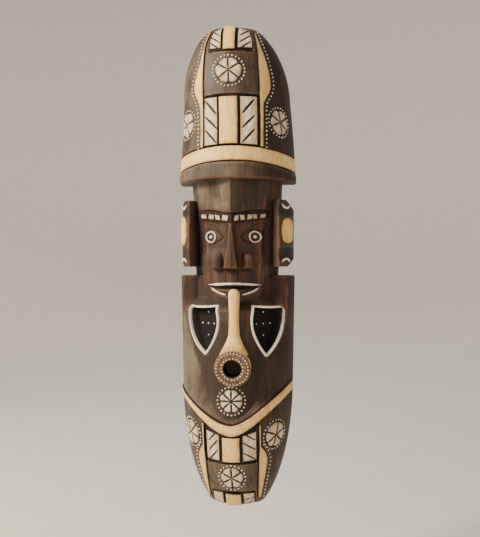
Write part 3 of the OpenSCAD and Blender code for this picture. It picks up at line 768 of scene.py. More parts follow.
def grain(tree, size_x, size_z, detail=4.0, rough=0.55, distort=0.0, shift=0.0):
    """Noise on object coordinates, size_x mm across the wood and size_z mm along it."""
    where = put(tree, "ShaderNodeTexCoord").outputs["Object"]
    sized = put(tree, "ShaderNodeMapping", Vector=where, Location=(shift, shift, shift),
                Scale=(1000 / size_x, 1000 / size_x, 1000 / size_z)).outputs["Vector"]
    return put(tree, "ShaderNodeTexNoise", Vector=sized, Scale=1.0, Detail=detail, Roughness=rough,
               Distortion=distort).outputs["Fac"]


def mark(tree, name):
    """A mark that the carving left on the piece's points, 0 to 1."""
    return put(tree, "ShaderNodeAttribute", {"attribute_name": name}).outputs["Fac"]


def times(tree, a, b):
    settings = {"operation": "MULTIPLY", "use_clamp": True}
    return put(tree, "ShaderNodeMath", settings, in0=a, in1=b).outputs[0]


def new_finish(name, roughness=None, ior=1.5, metallic=0.0):
    """A material with the values that are the same all over set on its shader."""
    m = bpy.data.materials.new(name)
    m.use_nodes = True
    tree = m.node_tree
    shader = tree.nodes["Principled BSDF"]
    shader.inputs["IOR"].default_value = ior
    shader.inputs["Metallic"].default_value = metallic
    if roughness is not None:
        shader.inputs["Roughness"].default_value = roughness
    return m, tree, shader


def bump(tree, shader, height, depth_mm, strength):
    """Relief too fine for the mesh, depth_mm deep."""
    n = put(tree, "ShaderNodeBump", Height=height, Strength=strength, Distance=depth_mm * 0.001)
    tree.links.new(n.outputs["Normal"], shader.inputs["Normal"])


def stained_waxed_wood():
    """Light tropical hardwood, knife carved, stained near black, sanded back on its high
    edges and waxed: brown to grey, the grey partly painted sheen on the sides that face the
    light; red where it is rubbed; soot black in the cuts and painted shade in the recesses."""
    m, t, s = new_finish("stained_waxed_wood", ior=1.45)
    fibre = grain(t, 1.5, 34, 4, 0.6, 0.5)
    band = grain(t, 6, 110, 4, 0.6, 0.9, 3.1)
    cloud = grain(t, 26, 44, 4, 0.6, 0.5, 7.7)
    base = ramp(t, fibre, (0.28, "#20170f"), (0.50, "#302318"), (0.74, "#443424"))
    red = ramp(t, band, (0.36, "#1a0e07"), (0.50, "#3c1f0c"), (0.64, "#6a3715"))
    red = blend(t, ramp(t, fibre, (0.35, 0.6), (0.65, 0.0)), red, "#1d110b")
    base = blend(t, times(t, mark(t, "warm"), ramp(t, cloud, (0.32, 0.35), (0.62, 1.0))), base, red)
    # Grey from the wax, and painted sheen where the wax mark carries the light from the left.
    waxed = times(t, mark(t, "wax"), ramp(t, cloud, (0.38, 0.1), (0.62, 1.0)))
    base = blend(t, waxed, base, ramp(t, fibre, (0.3, "#51463a"), (0.7, "#7c6e5a")))
    worn = times(t, mark(t, "rub"), ramp(t, grain(t, 3, 11, 4, 0.65), (0.36, 0.0), (0.6, 0.9)))
    base = blend(t, worn, base, "#7a4c2d")
    # Near black for burnt cuts, and painted shade in recesses and on the shaded side.
    soot_and_painted_shade = ramp(t, mark(t, "burn"), (0.05, 0.0), (0.8, 1.0))
    base = blend(t, soot_and_painted_shade, base, "#0d0907")
    t.links.new(base, s.inputs["Base Color"])
    dull = blend(t, soot_and_painted_shade, ramp(t, cloud, (0.3, 0.5), (0.7, 0.72)), (0.95, 0.95, 0.95, 1))
    t.links.new(dull, s.inputs["Roughness"])
    bump(t, s, fibre, 0.3, 0.5)
    return m


def bare_pale_wood():
    """The same wood with its stain pared off and a thin varnish: cream to honey, fine
    fibres up the log, brown where the stain crept in at the edges."""
    m, t, s = new_finish("bare_pale_wood", 0.48)
    fibre = grain(t, 0.9, 22, 4, 0.6, 0.2, 1.3)
    patch = grain(t, 14, 46, 3, 0.5, 0.5, 5.2)
    base = ramp(t, fibre, (0.28, "#d09a45"), (0.46, "#eec775"), (0.72, "#fadf9c"))
    base = blend(t, ramp(t, patch, (0.48, 0.0), (0.75, 0.5)), base, "#cf9a52")
    stain = times(t, mark(t, "rim"), ramp(t, grain(t, 3, 9, 3, 0.6), (0.35, 0.2), (0.65, 1.0)))
    base = blend(t, times(t, stain, 0.95), base, "#94602f")
    # Near black at the pieces' edges, and painted shade where the stem nears the chest.
    base = blend(t, ramp(t, mark(t, "burn"), (0.25, 0.0), (0.8, 1.0)), base, "#1d120b")
    t.links.new(base, s.inputs["Base Color"])
    bump(t, s, fibre, 0.25, 0.5)
    return m


def limed_wood():
    """Pared wood rubbed with thin white paint: chalky cream-grey that lets brown fibres
    through, with slashes burnt black."""
    m, t, s = new_finish("limed_wood", 0.62)
    fibre = grain(t, 1.1, 16, 4, 0.62, 0.3, 2.4)
    patch = grain(t, 7, 18, 3, 0.55, 0.4, 6.1)
    base = ramp(t, fibre, (0.30, "#bda684"), (0.5, "#e6dac0"), (0.72, "#f6eedb"))
    base = blend(t, ramp(t, patch, (0.40, 0.0), (0.68, 0.85)), base, "#b48b5c")
    base = blend(t, times(t, mark(t, "rim"), 0.7), base, "#77573a")
    base = blend(t, ramp(t, mark(t, "burn"), (0.3, 0.0), (0.8, 1.0)), base, "#140d09")
    t.links.new(base, s.inputs["Base Color"])
    bump(t, s, fibre, 0.3, 0.6)
    return m


def chalk_paint():
    """White acrylic laid on with a fine brush: matt, thin over the wood in spots."""
    m, t, s = new_finish("chalk_paint", 0.7, ior=1.47)
    thin = grain(t, 1.6, 2.4, 3, 0.6, 0.2, 4.5)
    base = ramp(t, thin, (0.30, "#b9a894"), (0.46, "#e6dccd"), (0.7, "#f4ede2"))
    t.links.new(base, s.inputs["Base Color"])
    bump(t, s, thin, 0.15, 0.4)
    return m


def burnt_bowl_wood():
    """The bowl: cream sides, and a rim scorched red-brown and peppered darker."""
    m, t, s = new_finish("burnt_bowl_wood", 0.5)
    fibre = grain(t, 1.0, 16, 4, 0.6, 0.2, 8.3)
    speck = grain(t, 1.7, 1.7, 2, 0.5, 0.0, 9.4)
    cream = ramp(t, fibre, (0.3, "#b98d58"), (0.6, "#e4c793"))
    brown = ramp(t, speck, (0.34, "#3a2415"), (0.5, "#60422a"), (0.68, "#8a6844"))
    base = blend(t, mark(t, "rim"), cream, brown)
    # Near black as painted shade inside the hole and on the bowl's back.
    base = blend(t, ramp(t, mark(t, "burn"), (0.25, 0.0), (0.85, 1.0)), base, "#120b07")
    t.links.new(base, s.inputs["Base Color"])
    bump(t, s, speck, 0.25, 0.5)
    return m


def zinc_plated_steel():
    """Bent and pressed mild steel with bright zinc plate: dull silver, faint cloudy spangle."""
    m, t, s = new_finish("zinc_plated_steel", metallic=1.0)
    spangle = grain(t, 2.5, 2.5, 3, 0.6, 0.5)
    t.links.new(ramp(t, spangle, (0.3, "#9aa0a3"), (0.7, "#c9cdcd")), s.inputs["Base Color"])
    t.links.new(ramp(t, spangle, (0.3, 0.28), (0.7, 0.46)), s.inputs["Roughness"])
    bump(t, s, spangle, 0.05, 0.3)
    return m


DARK, PALE, LIMED = stained_waxed_wood(), bare_pale_wood(), limed_wood()
CHALK, BOWL, STEEL = chalk_paint(), burnt_bowl_wood(), zinc_plated_steel()


def settle(piece, slot, *nodes):
    """Ride on the mask and stand for CAD nodes; the slot argument is not used."""
    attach(piece, "mask")
    if nodes:
        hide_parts(*nodes)
    return piece


# ---------------------------------------------------------------------------
# The block, in three lengths that meet at its natural ledges.
# ---------------------------------------------------------------------------
for name, key, lo, hi, rows, cols in (
        ("hat_block", "hat", BRIM, TOP, 228, 311),
        ("head_block", "head", 212, BRIM + 1, 206, 331),
        ("torso_block", "torso", 0, SHOULDER, 322, 231)):
    settle(block(name, key, lo, hi, rows, cols), "stained_wood", "carved_block")


def ear(side, word):
    """What is left of the log beside the head: a slab with a curved face and cut corners."""
    levels = np.concatenate([np.linspace(EAR_LO, EAR_LO + 10, 14), np.linspace(260, 307, 50),
                             np.linspace(EAR_HI - 10, EAR_HI, 14)])
    rings, marks = [], {"burn": [], "rub": [], "wax": [], "warm": []}
    for h in levels:
        reach = min(EAR_R, np.interp(h, [249, 252, 258, 309, 315, 318], [54, 57, 61, 61, 57, 54]))
        a = np.linspace(math.asin(EAR_FACE / EAR_R), math.asin(reach / EAR_R) * 0.9999, 26)
        r = EAR_R - 0.15 + 0.15 * wobble(a * 60, h, 6, 17, 25 + side)
        r -= 0.9 * np.clip(1 - (a - a[0]) / 0.02, 0, 1)
        face = np.column_stack([r * np.sin(a), -r * np.cos(a)])
        t = np.linspace(0, 1, 8)[1:, None]
        rear = np.array([face[-1, 0], 0])
        flank, back = mix(face[-1], rear, t), mix(rear, np.array([40.0, 0]), t)
        neck = np.array([[40.0, -26.0], [41.5, -31.0], [EAR_IN, face[0, 1] + 1.0]])
        loop = np.vstack([face, flank, back, neck])
        loop[:, 0] *= side
        rings.append(np.column_stack([loop, np.full(len(loop), h)]))
        edge = np.zeros(len(loop))
        edge[0] = edge[1] = 0.8
        if reach >= EAR_R:
            edge[24:26] = 0.2
        ends = 0.9 if h in (levels[0], levels[-1]) else 0
        between = 0.5 * float(step(8, 5, abs(h - 262)) + step(7, 4, abs(h - 307)))
        marks["rub"].append(np.maximum(edge, ends))
        marks["burn"].append(np.where(np.arange(len(loop)) < 26, between, 0))
        marks["wax"].append(np.full(len(loop), 0.2))
        marks["warm"].append(np.full(len(loop), 0.6))
    faces = capped_tube(len(levels), len(rings[0]), turned=side < 0)
    return make_mesh(f"ear_{word}_block", np.vstack(rings), faces, DARK,
                     {k: np.concatenate(v) for k, v in marks.items()}, crease=50)


for side, word in ((-1, "left"), (1, "right")):
    settle(ear(side, word), "stained_wood", "carved_block")

# ---------------------------------------------------------------------------
# Hat: band, ribs, strips, leaves.
# ---------------------------------------------------------------------------
def hat_band():
    """The band drops at its ends, so each of its rows follows the droop."""
    angles = np.linspace(-HALF, HALF, 181)[None, :]
    levels = np.linspace(BAND_LO + 0.1, BAND_HI - 0.1, 15)[:, None]
    phi, start = np.broadcast_arrays(angles, levels)
    h = np.array(start)
    for _ in range(3):
        h = start - band_droop(log_r(h) * np.sin(phi))
    rim = np.minimum(start - levels[0], levels[-1] - start)
    r = log_r(h) - 1.0 + crown(rim, 1.0, 1.8) + 0.12 * wobble(phi * 60, h, 7, 9, 31)
    low = log_r(h) - 2.9
    front = np.stack([r * np.sin(phi), -r * np.cos(phi), h], axis=-1)
    back = np.stack([low * np.sin(phi), -low * np.cos(phi), h], axis=-1)
    marks = {"burn": np.concatenate([np.ravel(1 - step(0.0, 0.5, rim))] * 2),
             "rim": np.concatenate([np.ravel(np.exp(-rim / 1.6))] * 2)}
    return make_mesh("hat_band_wood", np.vstack([front.reshape(-1, 3), back.reshape(-1, 3)]),
                     slab_faces(*phi.shape), PALE, marks)


settle(hat_band(), "pale_wood", "hat_band")


def slash(cx, ch, length, lean, width):
    """A cut of the knife, lean degrees up from level."""
    dx = length / 2 * math.cos(math.radians(lean))
    dh = length / 2 * math.sin(math.radians(lean))
    return (cx - dx, ch - dh), (cx + dx, ch + dh), width


for side, word in ((-1, "left"), (1, "right")):
    for name, key, (outer, inner), rows, seed in (
            ("hat_rib", "hat", HAT_RIBS[side], 150, 2),
            ("tail_rib", "torso", (TAIL_RIB_OUT, TAIL_RIB_IN), 100, 6)):
        settle(panel(f"{name}_{word}_wood", key, flip(inner, side), flip(outer, side), rows, 14,
                     RIB_LIFT, PALE, round_mm=1.2, seed=seed + side),
               "pale_wood", f"{name}_{word}")

    # Leaves by their inner edge, outer edge and slashes, with x counted away from the middle.
    hat_in, hat_out = (12.3, 27.1) if side < 0 else (10.3, 27.1)
    top_in, top_out = (7.5, 20.3) if side < 0 else (9.3, 24.3)
    hat_mid, top_mid = (hat_in + hat_out) / 2 - 0.4, (top_in + top_out) / 2
    tail_lean = 50 if side < 0 else -32
    for name, key, inner, outer, rows, cols, seed, cuts in (
            ("hat_leaf", "hat", [[hat_in, 371], [hat_in, 420]],
             [[hat_out, 370.4], [hat_out, 420]], 100, 34, 12,
             [slash(side * hat_mid, h, 19, side * lean, width) for h, lean, width in (
                 (409.5, 52, 3.2), (394, 47, 2.8), (379.5, 50, 2.8))]),
            ("crown_leaf", "hat", [[top_in, 471], [top_in, 484], [top_in, 497]],
             [[top_out, 471.6], [top_out - 0.6, 484], [top_out - 4, 494]], 60, 28, 16,
             [slash(side * top_mid, h, 15, side * 42, 2.3) for h in (491, 482.5, 474.5)]),
            ("tail_leaf", "torso", [[11.5, 51.6], [11.5, 79]], [[25, 53], [25.4, 83.5]],
             60, 28, 20, [slash(side * 18, h, 15, tail_lean, 2.2) for h in (78, 68, 57.5)]),
            ("tip_leaf", "torso", [[10, 2.2], [10, 15.8]], [[21, 3], [21, 15.8]], 30, 24, 24,
             [slash(side * 16, 9, 11, side * 18, 1.4), slash(side * 17, 5, 8, side * 40, 1.2)])):
        settle(panel(f"{name}_{word}_wood", key, flip(inner, side), flip(outer, side), rows,
                     cols, LEAF_LIFT, LIMED, cuts=cuts, round_mm=0.9, seed=seed + side),
               "limed_wood", f"{name}_{word}")

for name, block_key, mid, half, lo, hi, count in (
        ("hat_strip", "hat", -1.5, 9.5, 371.1, 420.3, 60),
        ("crown_strip", "hat", 0.6, 6.3, 469.2, 499, 40),
        ("tail_strip", "torso", 0, 9, 50.4, 77, 40), ("tip_strip", "torso", 0, 8, 1.2, 14.8, 24)):
    settle(panel(f"{name}_wood", block_key, [[mid - half, lo], [mid - half, hi]],
                 [[mid + half, lo], [mid + half, hi]], count, 26, STRIP_LIFT, PALE, round_mm=1.8,
                 bulge=0.6, seed=30 + int(half)), "pale_wood", name)

xs = np.linspace(-59.2, 59.2, 120)
settle(panel("collar_wood", "torso",
             np.column_stack([xs, collar_low(xs)]),
             np.column_stack([xs, COLLAR + collar_rise(xs)]), 200, 14, COLLAR_LIFT, PALE,
             round_mm=1.6, bulge=0.2, seed=44), "pale_wood", "collar")


# ---------------------------------------------------------------------------
# Flowers: petals parted by V cuts.
# ---------------------------------------------------------------------------
def flower(name, block_key, at, turn, r, cuts):
    """A low round boss with a knife cut from its middle between each two petals."""
    lines = [math.radians(a) for a in cuts]

    def notch(du, dv):
        deep = np.zeros(du.shape)
        for a in lines:
            ahead = (du * math.cos(a) + dv * math.sin(a)) / r
            off = np.abs(dv * math.cos(a) - du * math.sin(a))
            half = 0.45 + 1.1 * np.sin(math.pi * np.clip(ahead, 0, 1) ** 1.3) ** 0.7
            deep = np.maximum(deep, np.clip(1 - off / half, 0, 1) * step(0, 0.08, ahead)
                              * step(0.97, 0.9, ahead))
        return deep

    def lift(du, dv, rim, angle):
        t = np.clip(rim / 3.5, 0, 1)
        body = 0.2 + 0.8 * np.sqrt(1 - (1 - t) ** 2) + 0.12 * wobble(du + turn, dv, 3, 3, len(cuts))
        return body - 0.95 * notch(du, dv)

    def burn(du, dv, rim, angle):
        return np.maximum(step(0.1, 0.5, notch(du, dv)), 0.5 * step(1.6, 0.4, np.hypot(du, dv)))

    def outline(angle):
        off = np.min([np.abs((angle - a + math.pi) % (2 * math.pi) - math.pi) for a in lines],
                     axis=0)
        return r * (1 - 0.1 * (1 - step(0, 0.3, off))) + 0.3 * np.sin(5 * angle + turn)

    return disc(name + "_wood", block_key, (0, at), outline, lift, LIMED, math.radians(turn),
                rings=20, spokes=144, burn_of=burn)


for name, block_key, at, turn, r, ring, cuts in rosette_spots():
    settle(flower(name, block_key, at, turn, r, cuts), "limed_wood", name)


# ---------------------------------------------------------------------------
# Face: brow blocks, eye rings, ear plugs and crescents, lip lines.
# ---------------------------------------------------------------------------
def fuse(name, parts, slot, *nodes):
    """Several loose bits that are one piece."""
    for p in parts:
        p.select_set(True)
    bpy.context.view_layer.objects.active = parts[0]
    bpy.ops.object.join()
    whole = bpy.context.view_layer.objects.active
    whole.name = whole.data.name = name
    whole.select_set(False)
    return settle(whole, slot, *nodes)


bpy.ops.object.select_all(action="DESELECT")
for side, word, count in ((-1, "left", 4), (1, "right", 5)):
    pitch = 31 / count
    blocks = []
    for i in range(count):
        x0, x1 = 2.6 + i * pitch, 2.6 + (i + 1) * pitch - 1.2 - 0.5 * math.sin(2.3 * i + side)
        lean, slip = 1.1 * math.sin(3.1 * i + side), 0.6 * math.cos(5.3 * i + 2 * side)
        left = [[side * x0, 294.1 + x0 * 0.14], [side * (x0 + lean), 300.4 + x0 * 0.1 + slip]]
        right = [[side * x1, 294.5 + x1 * 0.14], [side * (x1 + lean), 300.9 + x1 * 0.08 - slip]]
        blocks.append(panel(f"brow_{word}_{i}", "head", left, right, 12, 12, LEAF_LIFT, LIMED,
                           round_mm=0.9, seed=50 + i))
    fuse(f"brow_{word}_wood", blocks, "chalk_line", f"brow_{word}")

    round_line = lambda du, dv, rim, angle: 0.9 * np.sqrt(
        np.clip(1 - ((rim - 0.62) / 0.68) ** 2, 0, 1)) + 0.15
    eye = (side * EYE_X, EYE_H)
    iris = disc(f"iris_{word}", "head", eye, lambda a: 5.9 + 0.15 * np.sin(3 * a + side),
                round_line, CHALK, rings=8, spokes=48, inner=0.81)
    pupil = disc(f"pupil_{word}", "head", eye, lambda a: np.full(a.shape, 1.5),
                 lambda du, dv, rim, a: crown(rim, 0.9, 1.2), CHALK, rings=5, spokes=20)
    fuse(f"eye_ring_{word}_paint", [iris, pupil], "chalk_line", f"eye_ring_{word}")

    tall = 15.4 if side < 0 else 12.9
    oval = lambda a: ((np.abs(np.cos(a)) / 11.9) ** 2.8
                      + (np.abs(np.sin(a)) / tall) ** 2.8) ** (-1 / 2.8)
    settle(disc(f"ear_plug_{word}_wood", "ear", (0, 286.5), oval,
                lambda du, dv, rim, a: crown(rim, 1.6, 3.4), PALE, math.radians(side * PLUG_TURN),
                rings=14, spokes=72), "pale_wood", f"ear_plug_{word}")


def stroke(name, block_key, path, width, height, turn=0.0, count=60):
    """A painted line of rounded section along a path, with tapered ends."""
    p = even(path, count)
    ahead = np.gradient(p, axis=0)
    ahead /= np.maximum(np.linalg.norm(ahead, axis=1, keepdims=True), 1e-9)
    out = np.column_stack([-ahead[:, 1], ahead[:, 0]])
    v = np.linspace(0, 1, count)
    body = np.clip(np.minimum(v, 1 - v) * 7, 0.28, 1)
    body = body * (1 + 0.1 * wobble(v * 60, 0, 3, 3, 61))
    t = np.linspace(-1, 1, 9)[None, :]
    u = p[:, :1] + out[:, :1] * t * (body * width / 2)[:, None]
    h = p[:, 1:] + out[:, 1:] * t * (body * width / 2)[:, None]
    lift = height * np.sqrt(np.clip(1 - t ** 2, 0, 1)) * np.sqrt(body)[:, None] + 0.12
    return relief(name, block_key, u[:, ::-1], h[:, ::-1], lift, CHALK, turn)


for side, word in ((-1, "left"), (1, "right")):
    bits = []
    for end in (-1, 1):
        mid = 283.5 + end * 38
        arc = [[11.6 * math.sin(a), mid - end * 11.6 * math.cos(a)]
               for a in np.linspace(-0.82, 0.82, 17)]
        bits.append(stroke(f"crescent_{word}_{end + 1}", "ear", arc, 2.3, 0.6,
                           math.radians(side * EAR_TURN), 30))
    fuse(f"ear_crescents_{word}_paint", bits, "chalk_line", f"ear_crescents_{word}")
    arc = flip(bend([25, LIP_H - 2.6], [18, LIP_H - 8.4], [8, LIP_H - 10.2]), side)
    settle(stroke(f"lower_lip_{word}_paint", "head", arc + [OFFSET / 2, 0], 1.6, 0.6),
           "chalk_line", f"lower_lip_{word}")

line = [[x + OFFSET / 2, LIP_H + 0.9 + 0.5 * math.cos(x / 9)] for x in np.linspace(-27, 27, 30)]
settle(stroke("upper_lip_paint", "head", line, 2.1, 0.8), "chalk_line", "upper_lip_line")


# ---------------------------------------------------------------------------
# Shields: a raised white rim round each recess.
# ---------------------------------------------------------------------------
def chest_point(u, h, lift, turn):
    """A point on the sunk chest, not in the shield, seen square on from turn."""
    phi = turn + np.arcsin(np.clip(u / 56, -1, 1))
    for _ in range(6):
        big = chest_floor_r(h) + lift
        r = -12 * np.cos(phi) + np.sqrt(big ** 2 - (12 * np.sin(phi)) ** 2)
        phi = turn + np.arcsin(np.clip(u / r, -1, 1))
    return np.stack([r * np.sin(phi), -r * np.cos(phi), h], axis=-1)


def shield_rim(side, word):
    """A raised bead laid along the edge of one shield, with its foot in the chest."""
    turn = shield_turn(side)
    path = even(np.vstack([shield_outline(side, 2.2), shield_outline(side, 2.2)[:1]]), 121)[:-1]
    ahead = np.roll(path, -1, axis=0) - np.roll(path, 1, axis=0)
    ahead /= np.linalg.norm(ahead, axis=1, keepdims=True)
    out = np.column_stack([-ahead[:, 1], ahead[:, 0]])
    section = [(-1.1, -2.6), (-1.1, 0.1), (-0.9, 0.6), (-0.4, 0.9), (0.1, 0.95), (0.5, 0.8),
               (0.85, 0.4), (0.95, -0.2), (0.95, -2.6)]
    rows = []
    for across, lift in section:
        q = path + out * (across * (1 + 0.12 * wobble(path[:, 0], path[:, 1], 6, 6, 71)))[:, None]
        rows.append(chest_point(q[:, 0], q[:, 1], lift - 0.1, turn))
    points = np.stack(rows, axis=1)
    count, cols = points.shape[:2]
    faces = grid_faces(count, cols, wrap_rows=True, wrap_cols=True)
    return make_mesh(f"shield_frame_{word}_paint", points.reshape(-1, 3), faces, CHALK)


for side, word in ((-1, "left"), (1, "right")):
    settle(shield_rim(side, word), "chalk_line", f"shield_frame_{word}")


# ---------------------------------------------------------------------------
# Pipe: stem and bowl.
# ---------------------------------------------------------------------------
BOWL_H, BOWL_D, BOWL_TILT = 147, 65, 8


def pipe_stem():
    """The stem stands off the chest with rounded edges and flares into the bowl."""
    rows, cols = 90, 26
    h = np.linspace(226, 160.5, rows)
    half = np.where(h > 181, 5.5 + 0.4 * np.cos(h / 9), 0)
    flare = bend([5.6, 181], [7.2, 173], [14.9, 160.5], 40)
    half = np.where(h <= 181, np.interp(-h, -flare[:, 1], flare[:, 0]), half)
    half = half * np.sqrt(np.clip(1 - np.clip((h - 221) / 5.4, 0, 0.995) ** 2, 0, 1))
    face = np.interp(h, [158, 166, 180, 226], [60.6, 59.4, 57.8, 57.4])
    ring = np.linspace(0, 2 * math.pi, cols, endpoint=False)
    cx, sx = np.cos(ring), np.sin(ring)
    square = 1 / (np.abs(cx) ** 3.4 + np.abs(sx) ** 3.4) ** (1 / 3.4)
    points, root = [], 41.0
    for k in range(rows):
        mid, deep = (face[k] + root) / 2, (face[k] - root) / 2
        x = OFFSET + half[k] * cx * square
        y = -(mid + deep * sx * square)
        points.append(np.column_stack([x, y, np.full(cols, h[k])]))
    points = np.vstack(points)
    points[:, 0] += 0.18 * wobble(points[:, 1] * 2, points[:, 2], 8, 14, 81)
    faces = capped_tube(rows, cols)
    # Painted shade: the stem is darkened where it nears the chest.
    burn = 0.9 * (1 - step(-50.5, -53.5, points[:, 1]))
    rim = 0.9 * (1 - step(160, 176, points[:, 2])) * (points[:, 1] < -50)
    return make_mesh("pipe_stem_wood", points, faces, PALE, {"burn": burn, "rim": rim})


def tilted(points):
    """From the bowl's own frame (z along its axis, rim at 0) to the mask's."""
    a = math.radians(90 + BOWL_TILT)
    x, y, z = points[..., 0], points[..., 1], points[..., 2]
    return np.stack([x + OFFSET, -BOWL_D + y * math.cos(a) - z * math.sin(a),
                     BOWL_H + y * math.sin(a) + z * math.cos(a)], axis=-1)


def pipe_bowl():
    """The bowl is turned on a lathe: its hole, its flat rim, its side and the spigot."""
    spokes = 96
    profile = [(0.05, -17), (5, -17), (8, -16.7), (8.9, -15.8), (9, -8), (9, -1.0), (9.2, -0.5),
               (9.6, -0.3), (11, -0.25), (13.6, -0.2), (16.4, -0.3), (17.6, -0.5), (18.2, -1.0),
               (18.4, -1.8), (18.1, -6), (17.5, -12), (16.4, -15), (14.8, -15.6), (14.8, -21.8),
               (0.05, -21.8)]
    # Painted shade: black inside the hole, and on the back of the bowl and its spigot.
    burn = [1, 1, 1, 1, 1, 0.9, 0.35, 0.1, 0, 0, 0, 0, 0.1, 0, 0, 0, 0.5, 1, 1, 1]
    tint = [1, 1, 1, 1, 1, 1, 1, 1, 1, 1, 1, 1, 0.9, 0.35, 0.15, 0.1, 0.3, 0, 0, 0]
    ring = np.linspace(0, 2 * math.pi, spokes, endpoint=False)
    rows = []
    for r, z in profile:
        rough = 1 + (0.012 * wobble(ring * 9.5, z, 5, 9, 91) if r > 9.1 else 0)
        rows.append(np.column_stack([r * rough * np.cos(ring), r * rough * np.sin(ring),
                                     np.full(spokes, z)]))
    points = tilted(np.vstack(rows))
    faces = capped_tube(len(profile), spokes, turned=True)
    return make_mesh("pipe_bowl_wood", points, faces, BOWL,
                     {"burn": np.repeat(burn, spokes), "rim": np.repeat(tint, spokes)})


settle(pipe_stem(), "pale_wood", "pipe_stem")
settle(pipe_bowl(), "bowl_wood", "pipe_bowl")


# ---------------------------------------------------------------------------
# White dots: one small domed drop of paint on each seat, laid by geometry nodes.
# ---------------------------------------------------------------------------
def dot_tree():
    """Small domes stand on the seat points, turned to each seat's normal."""
    tree = bpy.data.node_groups.new("paint_dots", "GeometryNodeTree")
    face = tree.interface
    face.new_socket("Seats", in_out="INPUT", socket_type="NodeSocketGeometry")
    sockets = {}
    for name, kind, value in (("Dot radius", "NodeSocketFloat", 0.0009),
                              ("Dot height", "NodeSocketFloat", 0.0006),
                              ("Size spread", "NodeSocketFloat", 0.18),
                              ("Seed", "NodeSocketInt", 5),
                              ("Paint", "NodeSocketMaterial", None)):
        socket = face.new_socket(name, in_out="INPUT", socket_type=kind)
        if value is not None:
            socket.default_value = value
        sockets[name] = socket.identifier
    face.new_socket("Dots", in_out="OUTPUT", socket_type="NodeSocketGeometry")
    inp = tree.nodes.new("NodeGroupInput")
    ball = put(tree, "GeometryNodeMeshUVSphere", Segments=8, Rings=5, Radius=1.0)
    squash = put(tree, "ShaderNodeCombineXYZ", X=inp.outputs["Dot radius"],
                 Y=inp.outputs["Dot radius"], Z=inp.outputs["Dot height"])
    dome = put(tree, "GeometryNodeTransform", Geometry=ball.outputs["Mesh"],
               Scale=squash.outputs["Vector"])
    normal = put(tree, "GeometryNodeInputNamedAttribute", {"data_type": "FLOAT_VECTOR"},
                 Name="facing")
    turn = put(tree, "FunctionNodeAlignRotationToVector", {"axis": "Z"},
               Vector=normal.outputs["Attribute"])
    low = put(tree, "ShaderNodeMath", {"operation": "SUBTRACT"}, in0=1.0,
              in1=inp.outputs["Size spread"])
    high = put(tree, "ShaderNodeMath", {"operation": "ADD"}, in0=1.0,
               in1=inp.outputs["Size spread"])
    spread = put(tree, "FunctionNodeRandomValue", {"data_type": "FLOAT"})
    tree.links.new(low.outputs[0], spread.inputs[2])
    tree.links.new(high.outputs[0], spread.inputs[3])
    tree.links.new(inp.outputs["Seed"], spread.inputs["Seed"])
    stand = put(tree, "GeometryNodeInstanceOnPoints", Points=inp.outputs["Seats"],
                Instance=dome.outputs["Geometry"], Rotation=turn.outputs["Rotation"])
    tree.links.new(spread.outputs[1], stand.inputs["Scale"])
    real = put(tree, "GeometryNodeRealizeInstances", Geometry=stand.outputs["Instances"])
    paint = put(tree, "GeometryNodeSetMaterial", Geometry=real.outputs["Geometry"],
                Material=inp.outputs["Paint"])
    out = tree.nodes.new("NodeGroupOutput")
    tree.links.new(paint.outputs["Geometry"], out.inputs["Dots"])
    return tree, sockets


DOT_TREE, DOT_INPUTS = dot_tree()


def dots(name, seats, normals, radius, seed):
    """One piece of paint dots, from lists of seat points and normals in millimetres."""
    seats, normals = np.vstack(seats), np.vstack(normals)
    mesh = bpy.data.meshes.new(name + "_seats")
    mesh.from_pydata(metres(seats).tolist(), [], [])
    layer = mesh.attributes.new("facing", "FLOAT_VECTOR", "POINT")
    layer.data.foreach_set("vector", np.asarray(normals, np.float32).ravel())
    holder = bpy.data.objects.new(name + "_seats", mesh)
    bpy.context.scene.collection.objects.link(holder)
    mod = holder.modifiers.new("dots", "NODES")
    mod.node_group = DOT_TREE
    mod[DOT_INPUTS["Dot radius"]] = radius * 0.001
    mod[DOT_INPUTS["Dot height"]] = radius * 0.0006
    mod[DOT_INPUTS["Size spread"]] = 0.16
    mod[DOT_INPUTS["Seed"]] = seed
    mod[DOT_INPUTS["Paint"]] = CHALK
    graph = bpy.context.evaluated_depsgraph_get()
    made = bpy.data.meshes.new_from_object(holder.evaluated_get(graph), depsgraph=graph)
    made.name = name
    made.polygons.foreach_set("use_smooth", [True] * len(made.polygons))
    holder.modifiers.remove(mod)
    bpy.data.objects.remove(holder)
    piece = bpy.data.objects.new(name, made)
    bpy.context.scene.collection.objects.link(piece)
    return settle(piece, "chalk_line")


def on_wood(block_key, path, turn=0.0):
    """Seats and normals on a block along a path."""
    path = np.asarray(path, float)
    return landed(block_key, path[:, 0], path[:, 1], np.full(len(path), 0.05), turn)


def pitch_along(path, pitch):
    """Points along a path at about this pitch."""
    path = np.asarray(path, float)
    run = np.hypot(*np.diff(path, axis=0).T).sum()
    return even(path, max(2, int(round(run / pitch)) + 1))


def shifted_out(path, side, gap):
    """A path moved gap millimetres away from the centre line, seen on the wood."""
    p = even(path, 60)
    ahead = np.gradient(p, axis=0)
    ahead /= np.linalg.norm(ahead, axis=1, keepdims=True)
    out = np.column_stack([ahead[:, 1], -ahead[:, 0]])
    out *= np.sign(out[:, :1] + 1e-9)
    return flip(p + out * gap, side)


for key, name in (("hat", "hat"), ("torso", "tail")):
    seats, normals = [], []
    for side in (-1, 1):
        rib = HAT_RIBS[side][0] if key == "hat" else TAIL_RIB_OUT[1:]
        run = pitch_along(shifted_out(rib, side, 2.9), 4.1)
        if key == "torso":
            run = run[run[:, 1] < 88 + collar_rise(run[:, 0]) - 14]
        p, n = on_wood(key, run)
        seats.append(p)
        normals.append(n)
    dots(f"{name}_rib_dots", seats, normals, 0.9, 5)

